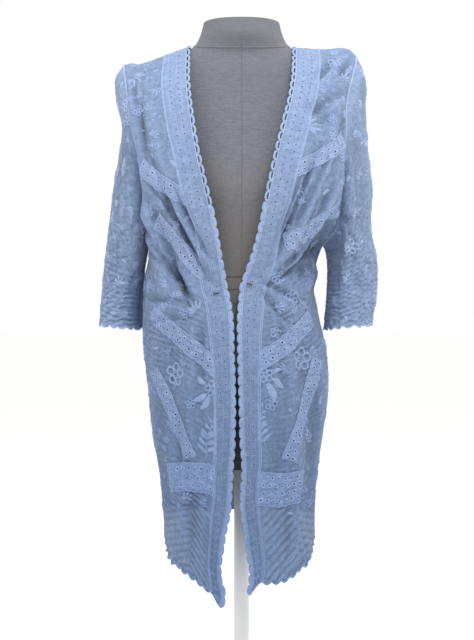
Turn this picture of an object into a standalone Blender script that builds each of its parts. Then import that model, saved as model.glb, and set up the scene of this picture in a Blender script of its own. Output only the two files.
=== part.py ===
"""Kimono cardigan of cutwork cotton voile, hung on a limbless dress form.

Units are metres, +Z is up and -Y is the front of the garment. The origin is the centre of
the underside of the stand's base plate. "Right" and "left" are the garment's own sides, so
the right front is at negative X. Each cut piece of cloth is one closed wall of its own.
"""
import math
from collections import namedtuple

import bmesh
import bpy
import numpy as np

# Walls and gaps
CLOTH_WALL = 0.0016
BAND_WALL = 0.0018
STRIP_WALL = 0.0011
SEAM_GAP = 0.0003

# Heights that set out the garment
UNDERARM_Z = 0.790
YOKE_Z = 0.950
SIDE_HEM_Z = 0.318
BACK_HEM_Z = 0.336
CUFF_Z = 0.658
SHOULDER_SEAM_Y = 0.012

# How many rows and columns the walls are drawn with
SKIRT_ROWS = 18
UPPER_ROWS = 11
FRONT_COLUMNS = 10
BACK_COLUMNS = 17
SLEEVE_RINGS = 11
DENSE_COLUMNS = 90

# The trimmed front edge, measured across from the tips of its loops
LOOP_DEPTH = 0.0075
SHOULDER_BAND_WIDTH = 0.0400
BandWidth = namedtuple("BandWidth", "z width")
BAND_WIDTHS = [
    BandWidth(0.200, 0.0260), BandWidth(0.480, 0.0270), BandWidth(0.600, 0.0290),
    BandWidth(0.680, 0.0335), BandWidth(0.800, 0.0365), BandWidth(0.950, 0.0390),
    BandWidth(1.030, SHOULDER_BAND_WIDTH), BandWidth(1.130, SHOULDER_BAND_WIDTH),
]
LOOPS_PER_ROW = 2
HEM_SCALLOP = 0.0035
CUFF_SCALLOP = 0.0030

# Body section of the garment at each height, outside of the cloth
SECTION_POWER = 2.4
Section = namedtuple("Section", "z right left front back")
BODY_SECTIONS = [
    Section(0.180, -0.1250, 0.1190, -0.112, 0.117),
    Section(0.314, -0.1280, 0.1213, -0.117, 0.122),
    Section(0.381, -0.1330, 0.1230, -0.121, 0.126),
    Section(0.480, -0.1447, 0.1330, -0.127, 0.131),
    Section(0.565, -0.1564, 0.1430, -0.130, 0.133),
    Section(0.615, -0.1630, 0.1397, -0.128, 0.131),
    Section(0.666, -0.1647, 0.1297, -0.124, 0.126),
    Section(0.733, -0.1614, 0.1196, -0.117, 0.119),
    Section(0.790, -0.1520, 0.1350, -0.124, 0.116),
    Section(0.830, -0.1640, 0.1600, -0.133, 0.118),
    Section(0.880, -0.1680, 0.1660, -0.139, 0.121),
    Section(0.950, -0.1740, 0.1700, -0.132, 0.124),
    Section(1.020, -0.1850, 0.1800, -0.108, 0.112),
]
SECTION_Y = 0.004

# Front edge at the loop tips, as X at each height
Edge = namedtuple("Edge", "z x")
RIGHT_EDGE = [
    Edge(0.200, -0.0300), Edge(0.226, -0.0255), Edge(0.247, -0.0315), Edge(0.306, -0.0269),
    Edge(0.366, -0.0160), Edge(0.421, -0.0125), Edge(0.470, -0.0095), Edge(0.552, -0.0086),
    Edge(0.613, -0.0105), Edge(0.686, -0.0147), Edge(0.723, -0.0224), Edge(0.778, -0.0315),
    Edge(0.856, -0.0470), Edge(0.901, -0.0580), Edge(0.946, -0.0680), Edge(1.001, -0.0765),
    Edge(1.056, -0.0825), Edge(1.121, -0.0835),
]
LEFT_EDGE = [
    Edge(0.219, 0.0085), Edge(0.247, 0.0144), Edge(0.308, 0.0070), Edge(0.373, -0.0020),
    Edge(0.424, 0.0005), Edge(0.476, -0.0030), Edge(0.552, -0.0055), Edge(0.597, -0.0070),
    Edge(0.686, -0.0065), Edge(0.720, -0.0030), Edge(0.757, 0.0110), Edge(0.796, 0.0220),
    Edge(0.850, 0.0330), Edge(0.923, 0.0480), Edge(0.968, 0.0590), Edge(1.013, 0.0710),
    Edge(1.058, 0.0790), Edge(1.121, 0.0830),
]

# Front hem height from the side seam (0) across to the front edge (1)
Hem = namedtuple("Hem", "across z")
RIGHT_HEM = [
    Hem(0.00, 0.318), Hem(0.15, 0.300), Hem(0.30, 0.277), Hem(0.50, 0.266),
    Hem(0.70, 0.252), Hem(0.85, 0.234), Hem(0.94, 0.212), Hem(1.00, 0.204),
]
LEFT_HEM = [
    Hem(0.00, 0.318), Hem(0.15, 0.300), Hem(0.30, 0.275), Hem(0.50, 0.262),
    Hem(0.70, 0.248), Hem(0.85, 0.246), Hem(0.94, 0.244), Hem(1.00, 0.222),
]

# Shoulder seam height from the armhole (0) in to the neck (1)
Seam = namedtuple("Seam", "x z")
RIGHT_SEAM = [
    Seam(0.1970, 1.0940), Seam(0.1850, 1.0975), Seam(0.1750, 1.0960), Seam(0.1580, 1.1000),
    Seam(0.1200, 1.1140), Seam(0.0835, 1.1270),
]
LEFT_SEAM = [
    Seam(0.1930, 1.1080), Seam(0.1850, 1.1180), Seam(0.1700, 1.1230), Seam(0.1480, 1.1215),
    Seam(0.1100, 1.1215), Seam(0.0830, 1.1245),
]

# Armhole from the underarm up to the shoulder; front and back are its two depths
Armhole = namedtuple("Armhole", "z x front back")
RIGHT_ARMHOLE = [
    Armhole(0.790, 0.1520, 0.000, 0.000), Armhole(0.820, 0.1580, -0.036, 0.036),
    Armhole(0.870, 0.1610, -0.060, 0.058), Armhole(0.922, 0.1660, -0.070, 0.068),
    Armhole(0.967, 0.1750, -0.071, 0.070), Armhole(1.011, 0.1830, -0.063, 0.067),
    Armhole(1.049, 0.1890, -0.046, 0.056), Armhole(1.078, 0.1950, -0.019, 0.036),
    Armhole(1.094, 0.1970, 0.012, 0.012),
]
LEFT_ARMHOLE = [
    Armhole(0.790, 0.1350, 0.000, 0.000), Armhole(0.820, 0.1560, -0.040, 0.036),
    Armhole(0.870, 0.1620, -0.063, 0.058), Armhole(0.922, 0.1650, -0.071, 0.068),
    Armhole(0.970, 0.1690, -0.072, 0.070), Armhole(1.016, 0.1700, -0.064, 0.067),
    Armhole(1.060, 0.1800, -0.046, 0.056), Armhole(1.090, 0.1890, -0.019, 0.036),
    Armhole(1.108, 0.1930, 0.012, 0.012),
]

Knot = namedtuple("Knot", "share value")

# Sleeve outline on its outer side and the cuff's place, size and turn
Outline = namedtuple("Outline", "z x")
RIGHT_SLEEVE_OUTER = [
    Outline(0.658, 0.2310), Outline(0.682, 0.2300), Outline(0.780, 0.2200),
    Outline(0.878, 0.2100), Outline(0.952, 0.1990), Outline(0.985, 0.1985),
    Outline(1.026, 0.2090), Outline(1.070, 0.2110), Outline(1.094, 0.1985),
]
LEFT_SLEEVE_OUTER = [
    Outline(0.658, 0.2170), Outline(0.720, 0.2270), Outline(0.775, 0.2250),
    Outline(0.810, 0.2170), Outline(0.880, 0.2190), Outline(0.960, 0.2120),
    Outline(1.020, 0.2095), Outline(1.070, 0.2090), Outline(1.108, 0.1940),
]
Cuff = namedtuple("Cuff", "x y half_width half_depth turn leave")
RIGHT_CUFF = Cuff(0.1990, 0.028, 0.0300, 0.0640, math.radians(17), 0.025)
LEFT_CUFF = Cuff(0.1790, 0.006, 0.0390, 0.0620, math.radians(4), 0.045)

# Folds of the fronts, each a soft trough from (x, z) to (x_end, z_end)
Fold = namedtuple("Fold", "x z x_end z_end depth width")
RIGHT_FOLDS = [
    Fold(-0.143, 0.865, -0.085, 0.690, 0.0170, 0.013),
    Fold(-0.126, 0.880, -0.058, 0.720, 0.0110, 0.011),
    Fold(-0.100, 0.857, -0.052, 0.755, 0.0080, 0.009),
    Fold(-0.120, 0.650, -0.100, 0.400, 0.0065, 0.015),
    Fold(-0.062, 0.580, -0.068, 0.300, 0.0055, 0.014),
    Fold(-0.052, 0.340, -0.046, 0.215, 0.0070, 0.010),
]
LEFT_FOLDS = [
    Fold(0.150, 0.830, 0.088, 0.730, 0.0180, 0.013),
    Fold(0.130, 0.940, 0.055, 0.775, 0.0110, 0.012),
    Fold(0.150, 0.920, 0.100, 0.800, 0.0080, 0.010),
    Fold(0.118, 1.012, 0.130, 0.972, 0.0100, 0.017),
    Fold(0.100, 0.650, 0.104, 0.420, 0.0065, 0.015),
    Fold(0.068, 0.500, 0.048, 0.290, 0.0055, 0.014),
]
BACK_FOLDS = [
    Fold(-0.085, 0.930, -0.060, 0.560, 0.0095, 0.017),
    Fold(-0.020, 0.800, -0.028, 0.420, 0.0070, 0.016),
    Fold(0.040, 0.900, 0.030, 0.520, 0.0090, 0.017),
    Fold(0.100, 0.780, 0.088, 0.400, 0.0070, 0.016),
    Fold(-0.118, 0.700, -0.100, 0.380, 0.0060, 0.015),
    Fold(0.000, 1.020, 0.006, 0.900, 0.0050, 0.018),
]

# Creases of the sleeves, at an angle round the sleeve and a share of its length
Crease = namedtuple("Crease", "round start round_end end depth width")
SLEEVE_CREASES = [
    Crease(0.30, 0.10, 0.36, 0.70, 0.0040, 0.045),
    Crease(0.42, 0.05, 0.44, 0.40, 0.0045, 0.040),
    Crease(0.20, 0.30, 0.30, 0.90, 0.0035, 0.040),
    Crease(0.58, 0.05, 0.60, 0.45, 0.0040, 0.040),
    Crease(0.72, 0.15, 0.66, 0.80, 0.0045, 0.045),
]

# Insertion strips on the panels: ends across the panel (0 side, 1 band) and up it in metres
Strip = namedtuple("Strip", "name across z across_end z_end width")
RIGHT_STRIPS = [
    Strip("waist", 0.45, 0.675, 0.96, 0.596, 0.030),
    Strip("hip", 0.42, 0.580, 0.75, 0.450, 0.028),
    Strip("hem", 0.50, 0.410, 0.96, 0.408, 0.046),
    Strip("chest_upper", 0.30, 0.912, 0.96, 0.862, 0.030),
    Strip("chest_lower", 0.46, 0.824, 0.94, 0.752, 0.026),
]
LEFT_STRIPS = [
    Strip("waist", 0.44, 0.669, 0.96, 0.606, 0.030),
    Strip("hip", 0.43, 0.598, 0.73, 0.446, 0.028),
    Strip("hem", 0.58, 0.399, 0.96, 0.401, 0.056),
    Strip("chest_upper", 0.22, 0.956, 0.96, 0.908, 0.030),
    Strip("chest_lower", 0.20, 0.846, 0.87, 0.792, 0.030),
]

# Dress form: half width and half depth at each height, and how far back its middle lies
FORM_POWER = 2.25
FormRing = namedtuple("FormRing", "z half_width half_depth middle_y")
HIP_BASE_TOP = 0.5750
FORM_RINGS = [
    FormRing(0.4256, 0.1120, 0.1060, 0.002), FormRing(0.4400, 0.1160, 0.1090, 0.002),
    FormRing(0.5000, 0.1240, 0.1150, 0.003), FormRing(0.5600, 0.1290, 0.1170, 0.004),
    FormRing(0.6200, 0.1240, 0.1110, 0.003), FormRing(0.6800, 0.1120, 0.0970, 0.002),
    FormRing(0.7300, 0.1020, 0.0870, 0.001), FormRing(0.7800, 0.1040, 0.0900, 0.000),
    FormRing(0.8300, 0.1150, 0.0980, -0.004), FormRing(0.8800, 0.1290, 0.1070, -0.008),
    FormRing(0.9300, 0.1400, 0.1070, -0.004), FormRing(0.9800, 0.1520, 0.0960, 0.002),
    FormRing(1.0200, 0.1620, 0.0830, 0.007), FormRing(1.0500, 0.1680, 0.0720, 0.010),
    FormRing(1.0750, 0.1660, 0.0600, 0.012), FormRing(1.0900, 0.1560, 0.0530, 0.013),
    FormRing(1.1000, 0.1340, 0.0510, 0.013), FormRing(1.1090, 0.1070, 0.0510, 0.012),
    FormRing(1.1170, 0.0880, 0.0530, 0.010), FormRing(1.1250, 0.0780, 0.0560, 0.008),
    FormRing(1.1340, 0.0720, 0.0590, 0.005), FormRing(1.1480, 0.0665, 0.0595, 0.002),
    FormRing(1.1600, 0.0635, 0.0600, 0.000),
]
FORM_SIDES = 32
FORM_CLEARANCE = 0.0022
FORM_STEP = 0.0005
FORM_STEPS = 60

# Stand
BASE_RADIUS = 0.150
BASE_THICKNESS = 0.010
BASE_EDGE_ROUND = 0.004
COLLAR_RADIUS = 0.024
COLLAR_HEIGHT = 0.030
POLE_RADIUS = 0.0125
STAND_SEGMENTS = 32

# Thread that holds the fronts together at the waist
THREAD_RADIUS = 0.0008
UPPER_STRAND_Z = 0.7335
LOWER_STRAND_Z = 0.7160
Stitch = namedtuple("Stitch", "side z across across_end")
STITCHES = [Stitch("right", 0.7080, 0.72, 0.43), Stitch("left", 0.7230, 0.93, 0.64)]
STITCH_DROP = 0.003


def smooth_curve(table, at, key, value):
    """Read a column of a table at one or many places, as a smooth curve through its rows."""
    rows = sorted(table, key=lambda row: getattr(row, key))
    xs = np.array([getattr(row, key) for row in rows])
    ys = np.array([getattr(row, value) for row in rows])
    slopes = np.gradient(ys, xs)
    at = np.clip(np.asarray(at, dtype=float), xs[0], xs[-1])
    i = np.clip(np.searchsorted(xs, at) - 1, 0, len(xs) - 2)
    span = xs[i + 1] - xs[i]
    t = (at - xs[i]) / span
    start, end = ys[i], ys[i + 1]
    return ((2 * t**3 - 3 * t**2 + 1) * start + (t**3 - 2 * t**2 + t) * span * slopes[i]
            + (3 * t**2 - 2 * t**3) * end + (t**3 - t**2) * span * slopes[i + 1])


def smoothstep(low, high, value):
    """Rise smoothly from 0 at low to 1 at high."""
    t = np.clip((np.asarray(value, dtype=float) - low) / (high - low), 0.0, 1.0)
    return t * t * (3 - 2 * t)


def signed_power(value, power):
    """Raise the size of a value to a power and keep its sign."""
    return np.sign(value) * np.abs(value) ** power


def body_point(angle, z):
    """Place points on the garment's body: angle 0 is the front, pi/2 the left side (+X)."""
    right = smooth_curve(BODY_SECTIONS, z, "z", "right")
    left = smooth_curve(BODY_SECTIONS, z, "z", "left")
    front = smooth_curve(BODY_SECTIONS, z, "z", "front")
    back = smooth_curve(BODY_SECTIONS, z, "z", "back")
    middle = (right + left) / 2
    across = signed_power(np.sin(angle), 2 / SECTION_POWER)
    along = np.abs(np.cos(angle)) ** (2 / SECTION_POWER)
    depth = np.where(np.cos(angle) > 0, front - SECTION_Y, back - SECTION_Y)
    return np.stack([middle + across * (left - right) / 2, SECTION_Y + along * depth,
                     np.broadcast_to(z, np.shape(across)) + 0.0 * across], axis=-1)


def angle_at_x(x, z):
    """Find the angle on the front of the body section that has a given X."""
    right = smooth_curve(BODY_SECTIONS, z, "z", "right")
    left = smooth_curve(BODY_SECTIONS, z, "z", "left")
    share = np.clip((x - (right + left) / 2) / ((left - right) / 2), -1.0, 1.0)
    return np.arcsin(signed_power(share, SECTION_POWER / 2))


def armhole_point(side, share, face):
    """Place a point of the armhole, from the underarm (0) up to the shoulder seam (1)."""
    table = RIGHT_ARMHOLE if side < 0 else LEFT_ARMHOLE
    last = len(table) - 1
    column = {}
    for name in ("z", "x", face):
        knots = [Knot(i / last, getattr(row, name)) for i, row in enumerate(table)]
        column[name] = smooth_curve(knots, share, "share", "value")
    return np.stack([side * column["x"], column[face], column["z"]], axis=-1)


def seam_point(side, share):
    """Place a point of the shoulder seam, from the armhole (0) in to the neck (1)."""
    table = RIGHT_SEAM if side < 0 else LEFT_SEAM
    x = table[0].x + (table[-1].x - table[0].x) * np.asarray(share, dtype=float)
    z = smooth_curve(table, x, "x", "z")
    return np.stack([side * x, SHOULDER_SEAM_Y + 0.0 * x, z], axis=-1)


def hermite(start, end, leave, arrive, t):
    """Blend from one point to another along set directions."""
    t = np.asarray(t, dtype=float)[..., None]
    return ((2 * t**3 - 3 * t**2 + 1) * start + (t**3 - 2 * t**2 + t) * leave
            + (3 * t**2 - 2 * t**3) * end + (t**3 - t**2) * arrive)


def grid_normals(grid, closed=False):
    """Work out the outward direction at each point of a grid of rows and columns."""
    up = np.gradient(grid, axis=0)
    if closed:
        across = (np.roll(grid, -1, axis=1) - np.roll(grid, 1, axis=1)) / 2
    else:
        across = np.gradient(grid, axis=1)
    normal = np.cross(across, up)
    return normal / np.maximum(np.linalg.norm(normal, axis=-1, keepdims=True), 1e-9)


def trough(x, z, fold):
    """How deep one fold is at each point, fading at both ends."""
    run = np.array([fold.x_end - fold.x, fold.z_end - fold.z])
    length = np.hypot(*run)
    along = ((x - fold.x) * run[0] + (z - fold.z) * run[1]) / length**2
    aside = ((x - fold.x) * run[1] - (z - fold.z) * run[0]) / length
    fade = smoothstep(-0.12, 0.22, along) * (1 - smoothstep(0.72, 1.12, along))
    ridge = 0.45 * np.exp(-((np.abs(aside) - 2.0 * fold.width) / fold.width) ** 2)
    return fold.depth * fade * (np.exp(-(aside / fold.width) ** 2) - ridge)


def folded(grid, normals, folds, keep):
    """Sink a grid's folds inwards; keep is 1 where they show and 0 at the seams."""
    depth = sum(trough(grid[..., 0], grid[..., 2], fold) for fold in folds)
    return grid - normals * (depth * keep)[..., None]


def inside_form(points):
    """Tell how far through the dress form points are: below 1 is inside it."""
    z = points[..., 2]
    half_width = smooth_curve(FORM_RINGS, z, "z", "half_width")
    half_depth = smooth_curve(FORM_RINGS, z, "z", "half_depth")
    middle = smooth_curve(FORM_RINGS, z, "z", "middle_y")
    power = FORM_POWER
    return (np.abs(points[..., 0] / half_width) ** power
            + np.abs((points[..., 1] - middle) / half_depth) ** power) ** (1 / power)


def clear_of_form(grid, normals):
    """Push a grid out, step by step, until its wall is just clear of the dress form."""
    grid = grid.copy()
    for _ in range(FORM_STEPS):
        touching = inside_form(grid - normals * (BAND_WALL + FORM_CLEARANCE)) < 1
        grid[touching] += normals[touching] * FORM_STEP
    return grid


def row_places():
    """Give each row of a panel its share of the skirt and of the part above the underarm."""
    skirt = [(i / SKIRT_ROWS, None) for i in range(SKIRT_ROWS + 1)]
    upper = [(None, i / UPPER_ROWS) for i in range(1, UPPER_ROWS + 1)]
    return skirt + upper


def upper_column(side_angle, share, lift, top, back_side):
    """Run one row of the upper body: on the body up to the yoke, then on to the top edge."""
    z = UNDERARM_Z + (YOKE_Z - UNDERARM_Z) * 2 * min(lift, 0.5)
    low = body_point(side_angle, z)
    if lift <= 0.5:
        return low
    slope = (body_point(side_angle, YOKE_Z) - body_point(side_angle, YOKE_Z - 0.02)) / 0.02
    rise = (top[..., 2] - YOKE_Z)[..., None]
    turn = -0.130 if back_side else 0.150
    arrive = np.stack([0 * share, turn + 0 * share, 0.020 + 0 * share], axis=-1)
    return hermite(low, top, slope * rise * 1.15, arrive, np.full(np.shape(share), 2 * lift - 1))


def front_rows(side):
    """Work out one front as dense rows from its side seam to the loop tips."""
    hem = RIGHT_HEM if side < 0 else LEFT_HEM
    edge = RIGHT_EDGE if side < 0 else LEFT_EDGE
    share = np.linspace(0, 1, DENSE_COLUMNS)
    top = seam_point(side, share)
    rows = []
    for skirt, lift in row_places():
        if lift is None:
            hem_z = smooth_curve(hem, share, "across", "z")
            z = hem_z + (UNDERARM_Z - hem_z) * skirt
            end = angle_at_x(smooth_curve(edge, z, "z", "x"), z)
            start = side * math.pi / 2
            rows.append(body_point(start + (end - start) * share, z))
            continue
        z = UNDERARM_Z + (YOKE_Z - UNDERARM_Z) * 2 * min(lift, 0.5)
        end = angle_at_x(smooth_curve(edge, z, "z", "x"), z)
        start = side * math.pi / 2
        row = upper_column(start + (end - start) * share, share, lift, top, False)
        edge_x = smooth_curve(edge, row[-1, 2], "z", "x")
        row[:, 0] += share**2 * (edge_x - row[-1, 0])
        gap = armhole_point(side, lift, "front") - row[0]
        row += ((1 - share) ** 1.6)[:, None] * gap
        rows.append(row)
    grid = np.array(rows)
    grid[-1] = top
    # Folds fade towards the side seam, the armhole and the shoulder
    lift = np.arange(len(rows)) - SKIRT_ROWS
    keep = smoothstep(0.0, 0.10, share)[None, :] * (1 - smoothstep(5, 10, lift))[:, None]
    folds = RIGHT_FOLDS if side < 0 else LEFT_FOLDS
    normals = grid_normals(grid) * (1 if side < 0 else -1)
    grid = folded(grid, normals, folds, keep)
    tuck = smoothstep(0.35, 1.0, share)[None, :] * np.exp(
        -((grid[:, -1:, 2] - LOWER_STRAND_Z) / 0.035) ** 2)
    grid[..., 1] += 0.008 * tuck
    grid[:-1] = clear_of_form(grid, normals)[:-1]
    grid[:, 0, 1] = np.where(lift <= 0, SECTION_Y, grid[:, 0, 1])
    return grid


def back_rows():
    """Work out the back as dense rows from the right side seam round to the left one."""
    share = np.linspace(0, 1, 2 * DENSE_COLUMNS)
    angle = -math.pi / 2 - math.pi * share
    top = back_top(share)
    rows = []
    for skirt, lift in row_places():
        if lift is None:
            hem_z = SIDE_HEM_Z + (BACK_HEM_Z - SIDE_HEM_Z) * smoothstep(0, 0.2, share) * (
                1 - smoothstep(0.8, 1, share))
            rows.append(body_point(angle, hem_z + (UNDERARM_Z - hem_z) * skirt))
            continue
        row = upper_column(angle, share, lift, top, True)
        for side, near in ((-1, share), (1, 1 - share)):
            gap = armhole_point(side, lift, "back") - row[0 if side < 0 else -1]
            row = row + (np.clip(1 - 2.2 * near, 0, 1) ** 1.6)[:, None] * gap
        rows.append(row)
    grid = np.array(rows)
    grid[-1] = top
    lift = np.arange(len(rows)) - SKIRT_ROWS
    keep = (smoothstep(0.0, 0.06, share) * (1 - smoothstep(0.94, 1, share)))[None, :] * (
        1 - smoothstep(5, 10, lift))[:, None]
    grid = folded(grid, -grid_normals(grid), BACK_FOLDS, keep)
    grid[:-1] = clear_of_form(grid, -grid_normals(grid))[:-1]
    grid[:, 0, 1] = np.where(lift <= 0, SECTION_Y, grid[:, 0, 1])
    grid[:, -1, 1] = np.where(lift <= 0, SECTION_Y, grid[:, -1, 1])
    return grid


# The back's top edge: the share of it that each shoulder seam takes
SEAM_SHARE = 0.25
BACK_NECK_DROP = 0.030
BACK_NECK_DEPTH = 0.096


def seam_length(side):
    """Measure one shoulder seam from the armhole to the neck."""
    line = seam_point(side, np.linspace(0, 1, 60))
    return float(np.linalg.norm(np.diff(line, axis=0), axis=1).sum())


def band_foot(side):
    """Place the point where the band's outer edge crosses the shoulder seam."""
    return seam_point(side, 1 - (SHOULDER_BAND_WIDTH + LOOP_DEPTH) / seam_length(side))


def neck_arc(start, end, depth, drop, t):
    """Curve behind the neck from one shoulder point to the other."""
    t = np.asarray(t, dtype=float)
    line = start + (end - start) * t[..., None]
    bulge = np.sin(math.pi * t) ** 0.62
    line[..., 1] += (depth - SHOULDER_SEAM_Y) * bulge
    line[..., 2] -= drop * np.sin(math.pi * t)
    return line


def back_top(share):
    """Trace the back's top edge: right shoulder, round under the neck band, left shoulder."""
    right_foot, left_foot = band_foot(-1), band_foot(1)
    trim = SHOULDER_BAND_WIDTH + LOOP_DEPTH
    reach = {side: 1 - trim / seam_length(side) for side in (-1, 1)}
    line = np.zeros((len(share), 3))
    for i, s in enumerate(share):
        if s <= SEAM_SHARE:
            line[i] = seam_point(-1, s / SEAM_SHARE * reach[-1])
        elif s >= 1 - SEAM_SHARE:
            line[i] = seam_point(1, (1 - s) / SEAM_SHARE * reach[1])
        else:
            t = (s - SEAM_SHARE) / (1 - 2 * SEAM_SHARE)
            line[i] = neck_arc(right_foot, left_foot, BACK_NECK_DEPTH, BACK_NECK_DROP, t)
    return line


def spread(row, places):
    """Read a dense row at given distances from its end, measured along it."""
    steps = np.linalg.norm(np.diff(row, axis=0), axis=1)
    along = np.concatenate([[0], np.cumsum(steps)])
    at = along[-1] - np.asarray(places)
    return np.stack([np.interp(at, along, row[:, k]) for k in range(3)], axis=-1)


def row_length(row):
    """Measure a dense row."""
    return float(np.linalg.norm(np.diff(row, axis=0), axis=1).sum())


def seam_normals(grid, normals, side, edge):
    """Turn the directions along a seam so that both of its walls end face to face."""
    for i in range(len(grid)):
        z = grid[i, edge, 2]
        if i <= SKIRT_ROWS:
            normals[i, edge] = (side, 0, 0)
            continue
        out = np.array([side * 0.35, grid[i, edge, 1] / 0.075, (z - 0.930) / 0.170])
        out /= np.linalg.norm(out)
        weight = float(smoothstep(0.785, 0.835, z))
        mixed = normals[i, edge] * (1 - weight) + out * weight
        normals[i, edge] = mixed / np.linalg.norm(mixed)
    return normals


def top_normals(grid, normals):
    """Stand the top edges of the shoulder seams upright."""
    run = np.gradient(grid[-1], axis=0)
    for i, step in enumerate(run):
        upright = np.cross(step, (0, 1, 0))
        upright *= np.sign(upright[2]) / max(np.linalg.norm(upright), 1e-9)
        if abs(grid[-1, i, 1] - SHOULDER_SEAM_Y) < 0.002:
            normals[-1, i] = upright
    return normals


def material(name, colour, roughness):
    """Make one plain finish."""
    made = bpy.data.materials.new(name)
    made.use_nodes = True
    shader = made.node_tree.nodes["Principled BSDF"]
    shader.inputs["Base Color"].default_value = (*colour, 1.0)
    shader.inputs["Roughness"].default_value = roughness
    return made


def add_object(name, points, faces, finish, collection):
    """Make an object from points and faces, with its faces pointing outwards."""
    mesh = bpy.data.meshes.new(name)
    mesh.from_pydata([tuple(p) for p in points], [], faces)
    mesh.validate()
    work = bmesh.new()
    work.from_mesh(mesh)
    bmesh.ops.recalc_face_normals(work, faces=work.faces)
    if work.calc_volume(signed=True) < 0:
        bmesh.ops.reverse_faces(work, faces=work.faces)
    work.to_mesh(mesh)
    work.free()
    mesh.shade_smooth()
    made = bpy.data.objects.new(name, mesh)
    made.data.materials.append(finish)
    collection.objects.link(made)
    return made


def cell_triangles(rows, columns, closed=False):
    """List the two triangles of every cell of a grid, all split the same way."""
    wide = columns if closed else columns - 1
    triangles = []
    for i in range(rows - 1):
        for j in range(wide):
            k = (j + 1) % columns
            a, b = i * columns + j, i * columns + k
            c, d = (i + 1) * columns + k, (i + 1) * columns + j
            triangles += [(a, b, c), (a, c, d)]
    return triangles


def boundary(triangles):
    """Find the edges that only one triangle has, in their own direction."""
    seen = {}
    for a, b, c in triangles:
        for edge in ((a, b), (b, c), (c, a)):
            seen[edge] = True
    return [edge for edge in seen if (edge[1], edge[0]) not in seen]


def wall(name, outer, inner, triangles, finish, collection):
    """Close a sheet of triangles into a wall between its outer and inner points."""
    count = len(outer)
    faces = list(triangles)
    faces += [(a + count, c + count, b + count) for a, b, c in triangles]
    for a, b in boundary(triangles):
        faces += [(b, a, a + count), (b, a + count, b + count)]
    return add_object(name, np.vstack([outer, inner]), faces, finish, collection)


def panel_wall(name, grid, normals, thickness, finish, collection, closed=False):
    """Make a wall from a grid of outer points."""
    rows, columns = grid.shape[:2]
    outer = grid.reshape(-1, 3)
    inner = (grid - normals * thickness).reshape(-1, 3)
    triangles = cell_triangles(rows, columns, closed)
    return wall(name, outer, inner, triangles, finish, collection)


def scallop(grid, depth):
    """Let every second point of the bottom row hang lower, for a scalloped hem."""
    down = grid[0] - grid[1]
    down /= np.linalg.norm(down, axis=1, keepdims=True)
    grid[0, 1:-1:2] += down[1:-1:2] * depth
    return grid


def front_grids(side):
    """Cut one front's dense rows into its panel and its band."""
    rows = front_rows(side)
    panel, band = [], []
    for row in rows:
        width = float(smooth_curve(BAND_WIDTHS, row[-1, 2], "z", "width"))
        seam_at = LOOP_DEPTH + width
        length = row_length(row)
        body = length - seam_at - SEAM_GAP / 2
        places = length - body * np.linspace(0, 1, FRONT_COLUMNS + 1)
        panel.append(spread(row, places))
        band.append(spread(row, [seam_at - SEAM_GAP / 2, LOOP_DEPTH + width / 2,
                                 LOOP_DEPTH + SEAM_GAP / 2]))
    return np.array(panel), np.array(band), rows


def shift_seams(grid, edges, back_side):
    """Part a panel from its neighbour by half the gap at the side and shoulder seams."""
    half = SEAM_GAP / 2 if back_side else -SEAM_GAP / 2
    for edge in edges:
        grid[: SKIRT_ROWS + 1, edge, 1] += half
    near = np.abs(grid[-1, :, 1] - SHOULDER_SEAM_Y) < 0.001
    grid[-1, near, 1] += half
    return grid


def clip_polygon(polygon, start, end):
    """Cut a polygon in the plane to the left of a line."""
    kept = []
    run = (end[0] - start[0], end[1] - start[1])

    def side_of(p):
        return run[0] * (p[1] - start[1]) - run[1] * (p[0] - start[0])

    for i, p in enumerate(polygon):
        q = polygon[(i + 1) % len(polygon)]
        here, there = side_of(p), side_of(q)
        if here >= 0:
            kept.append(p)
        if here * there < 0:
            t = here / (here - there)
            kept.append((p[0] + (q[0] - p[0]) * t, p[1] + (q[1] - p[1]) * t))
    return kept


def strip_corners(grid, strip):
    """Find a strip's corners as column and row places of the grid that it lies on."""
    columns = grid.shape[1] - 1

    def place(across, z):
        j = across * columns
        j0 = min(int(j), columns - 1)
        heights = grid[:, j0, 2] * (1 - (j - j0)) + grid[:, j0 + 1, 2] * (j - j0)
        return np.array([j, np.interp(z, heights, np.arange(len(heights)))])

    start, end = place(strip.across, strip.z), place(strip.across_end, strip.z_end)
    middle = grid[int(round((start[1] + end[1]) / 2))]
    cell_wide = row_length(middle) / columns
    low, high = int(min(start[1], end[1])), int(max(start[1], end[1])) + 1
    cell_tall = abs(grid[high, columns // 2, 2] - grid[low, columns // 2, 2]) / (high - low)
    size = np.array([cell_wide, cell_tall])
    run = (end - start) * size
    run /= np.linalg.norm(run)
    half = np.array([-run[1], run[0]]) * strip.width / 2 / size
    corners = [start + half, start - half, end - half, end + half]
    area = sum(corners[i][0] * corners[(i + 1) % 4][1] - corners[(i + 1) % 4][0] * corners[i][1]
               for i in range(4))
    return corners if area > 0 else corners[::-1]


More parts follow.
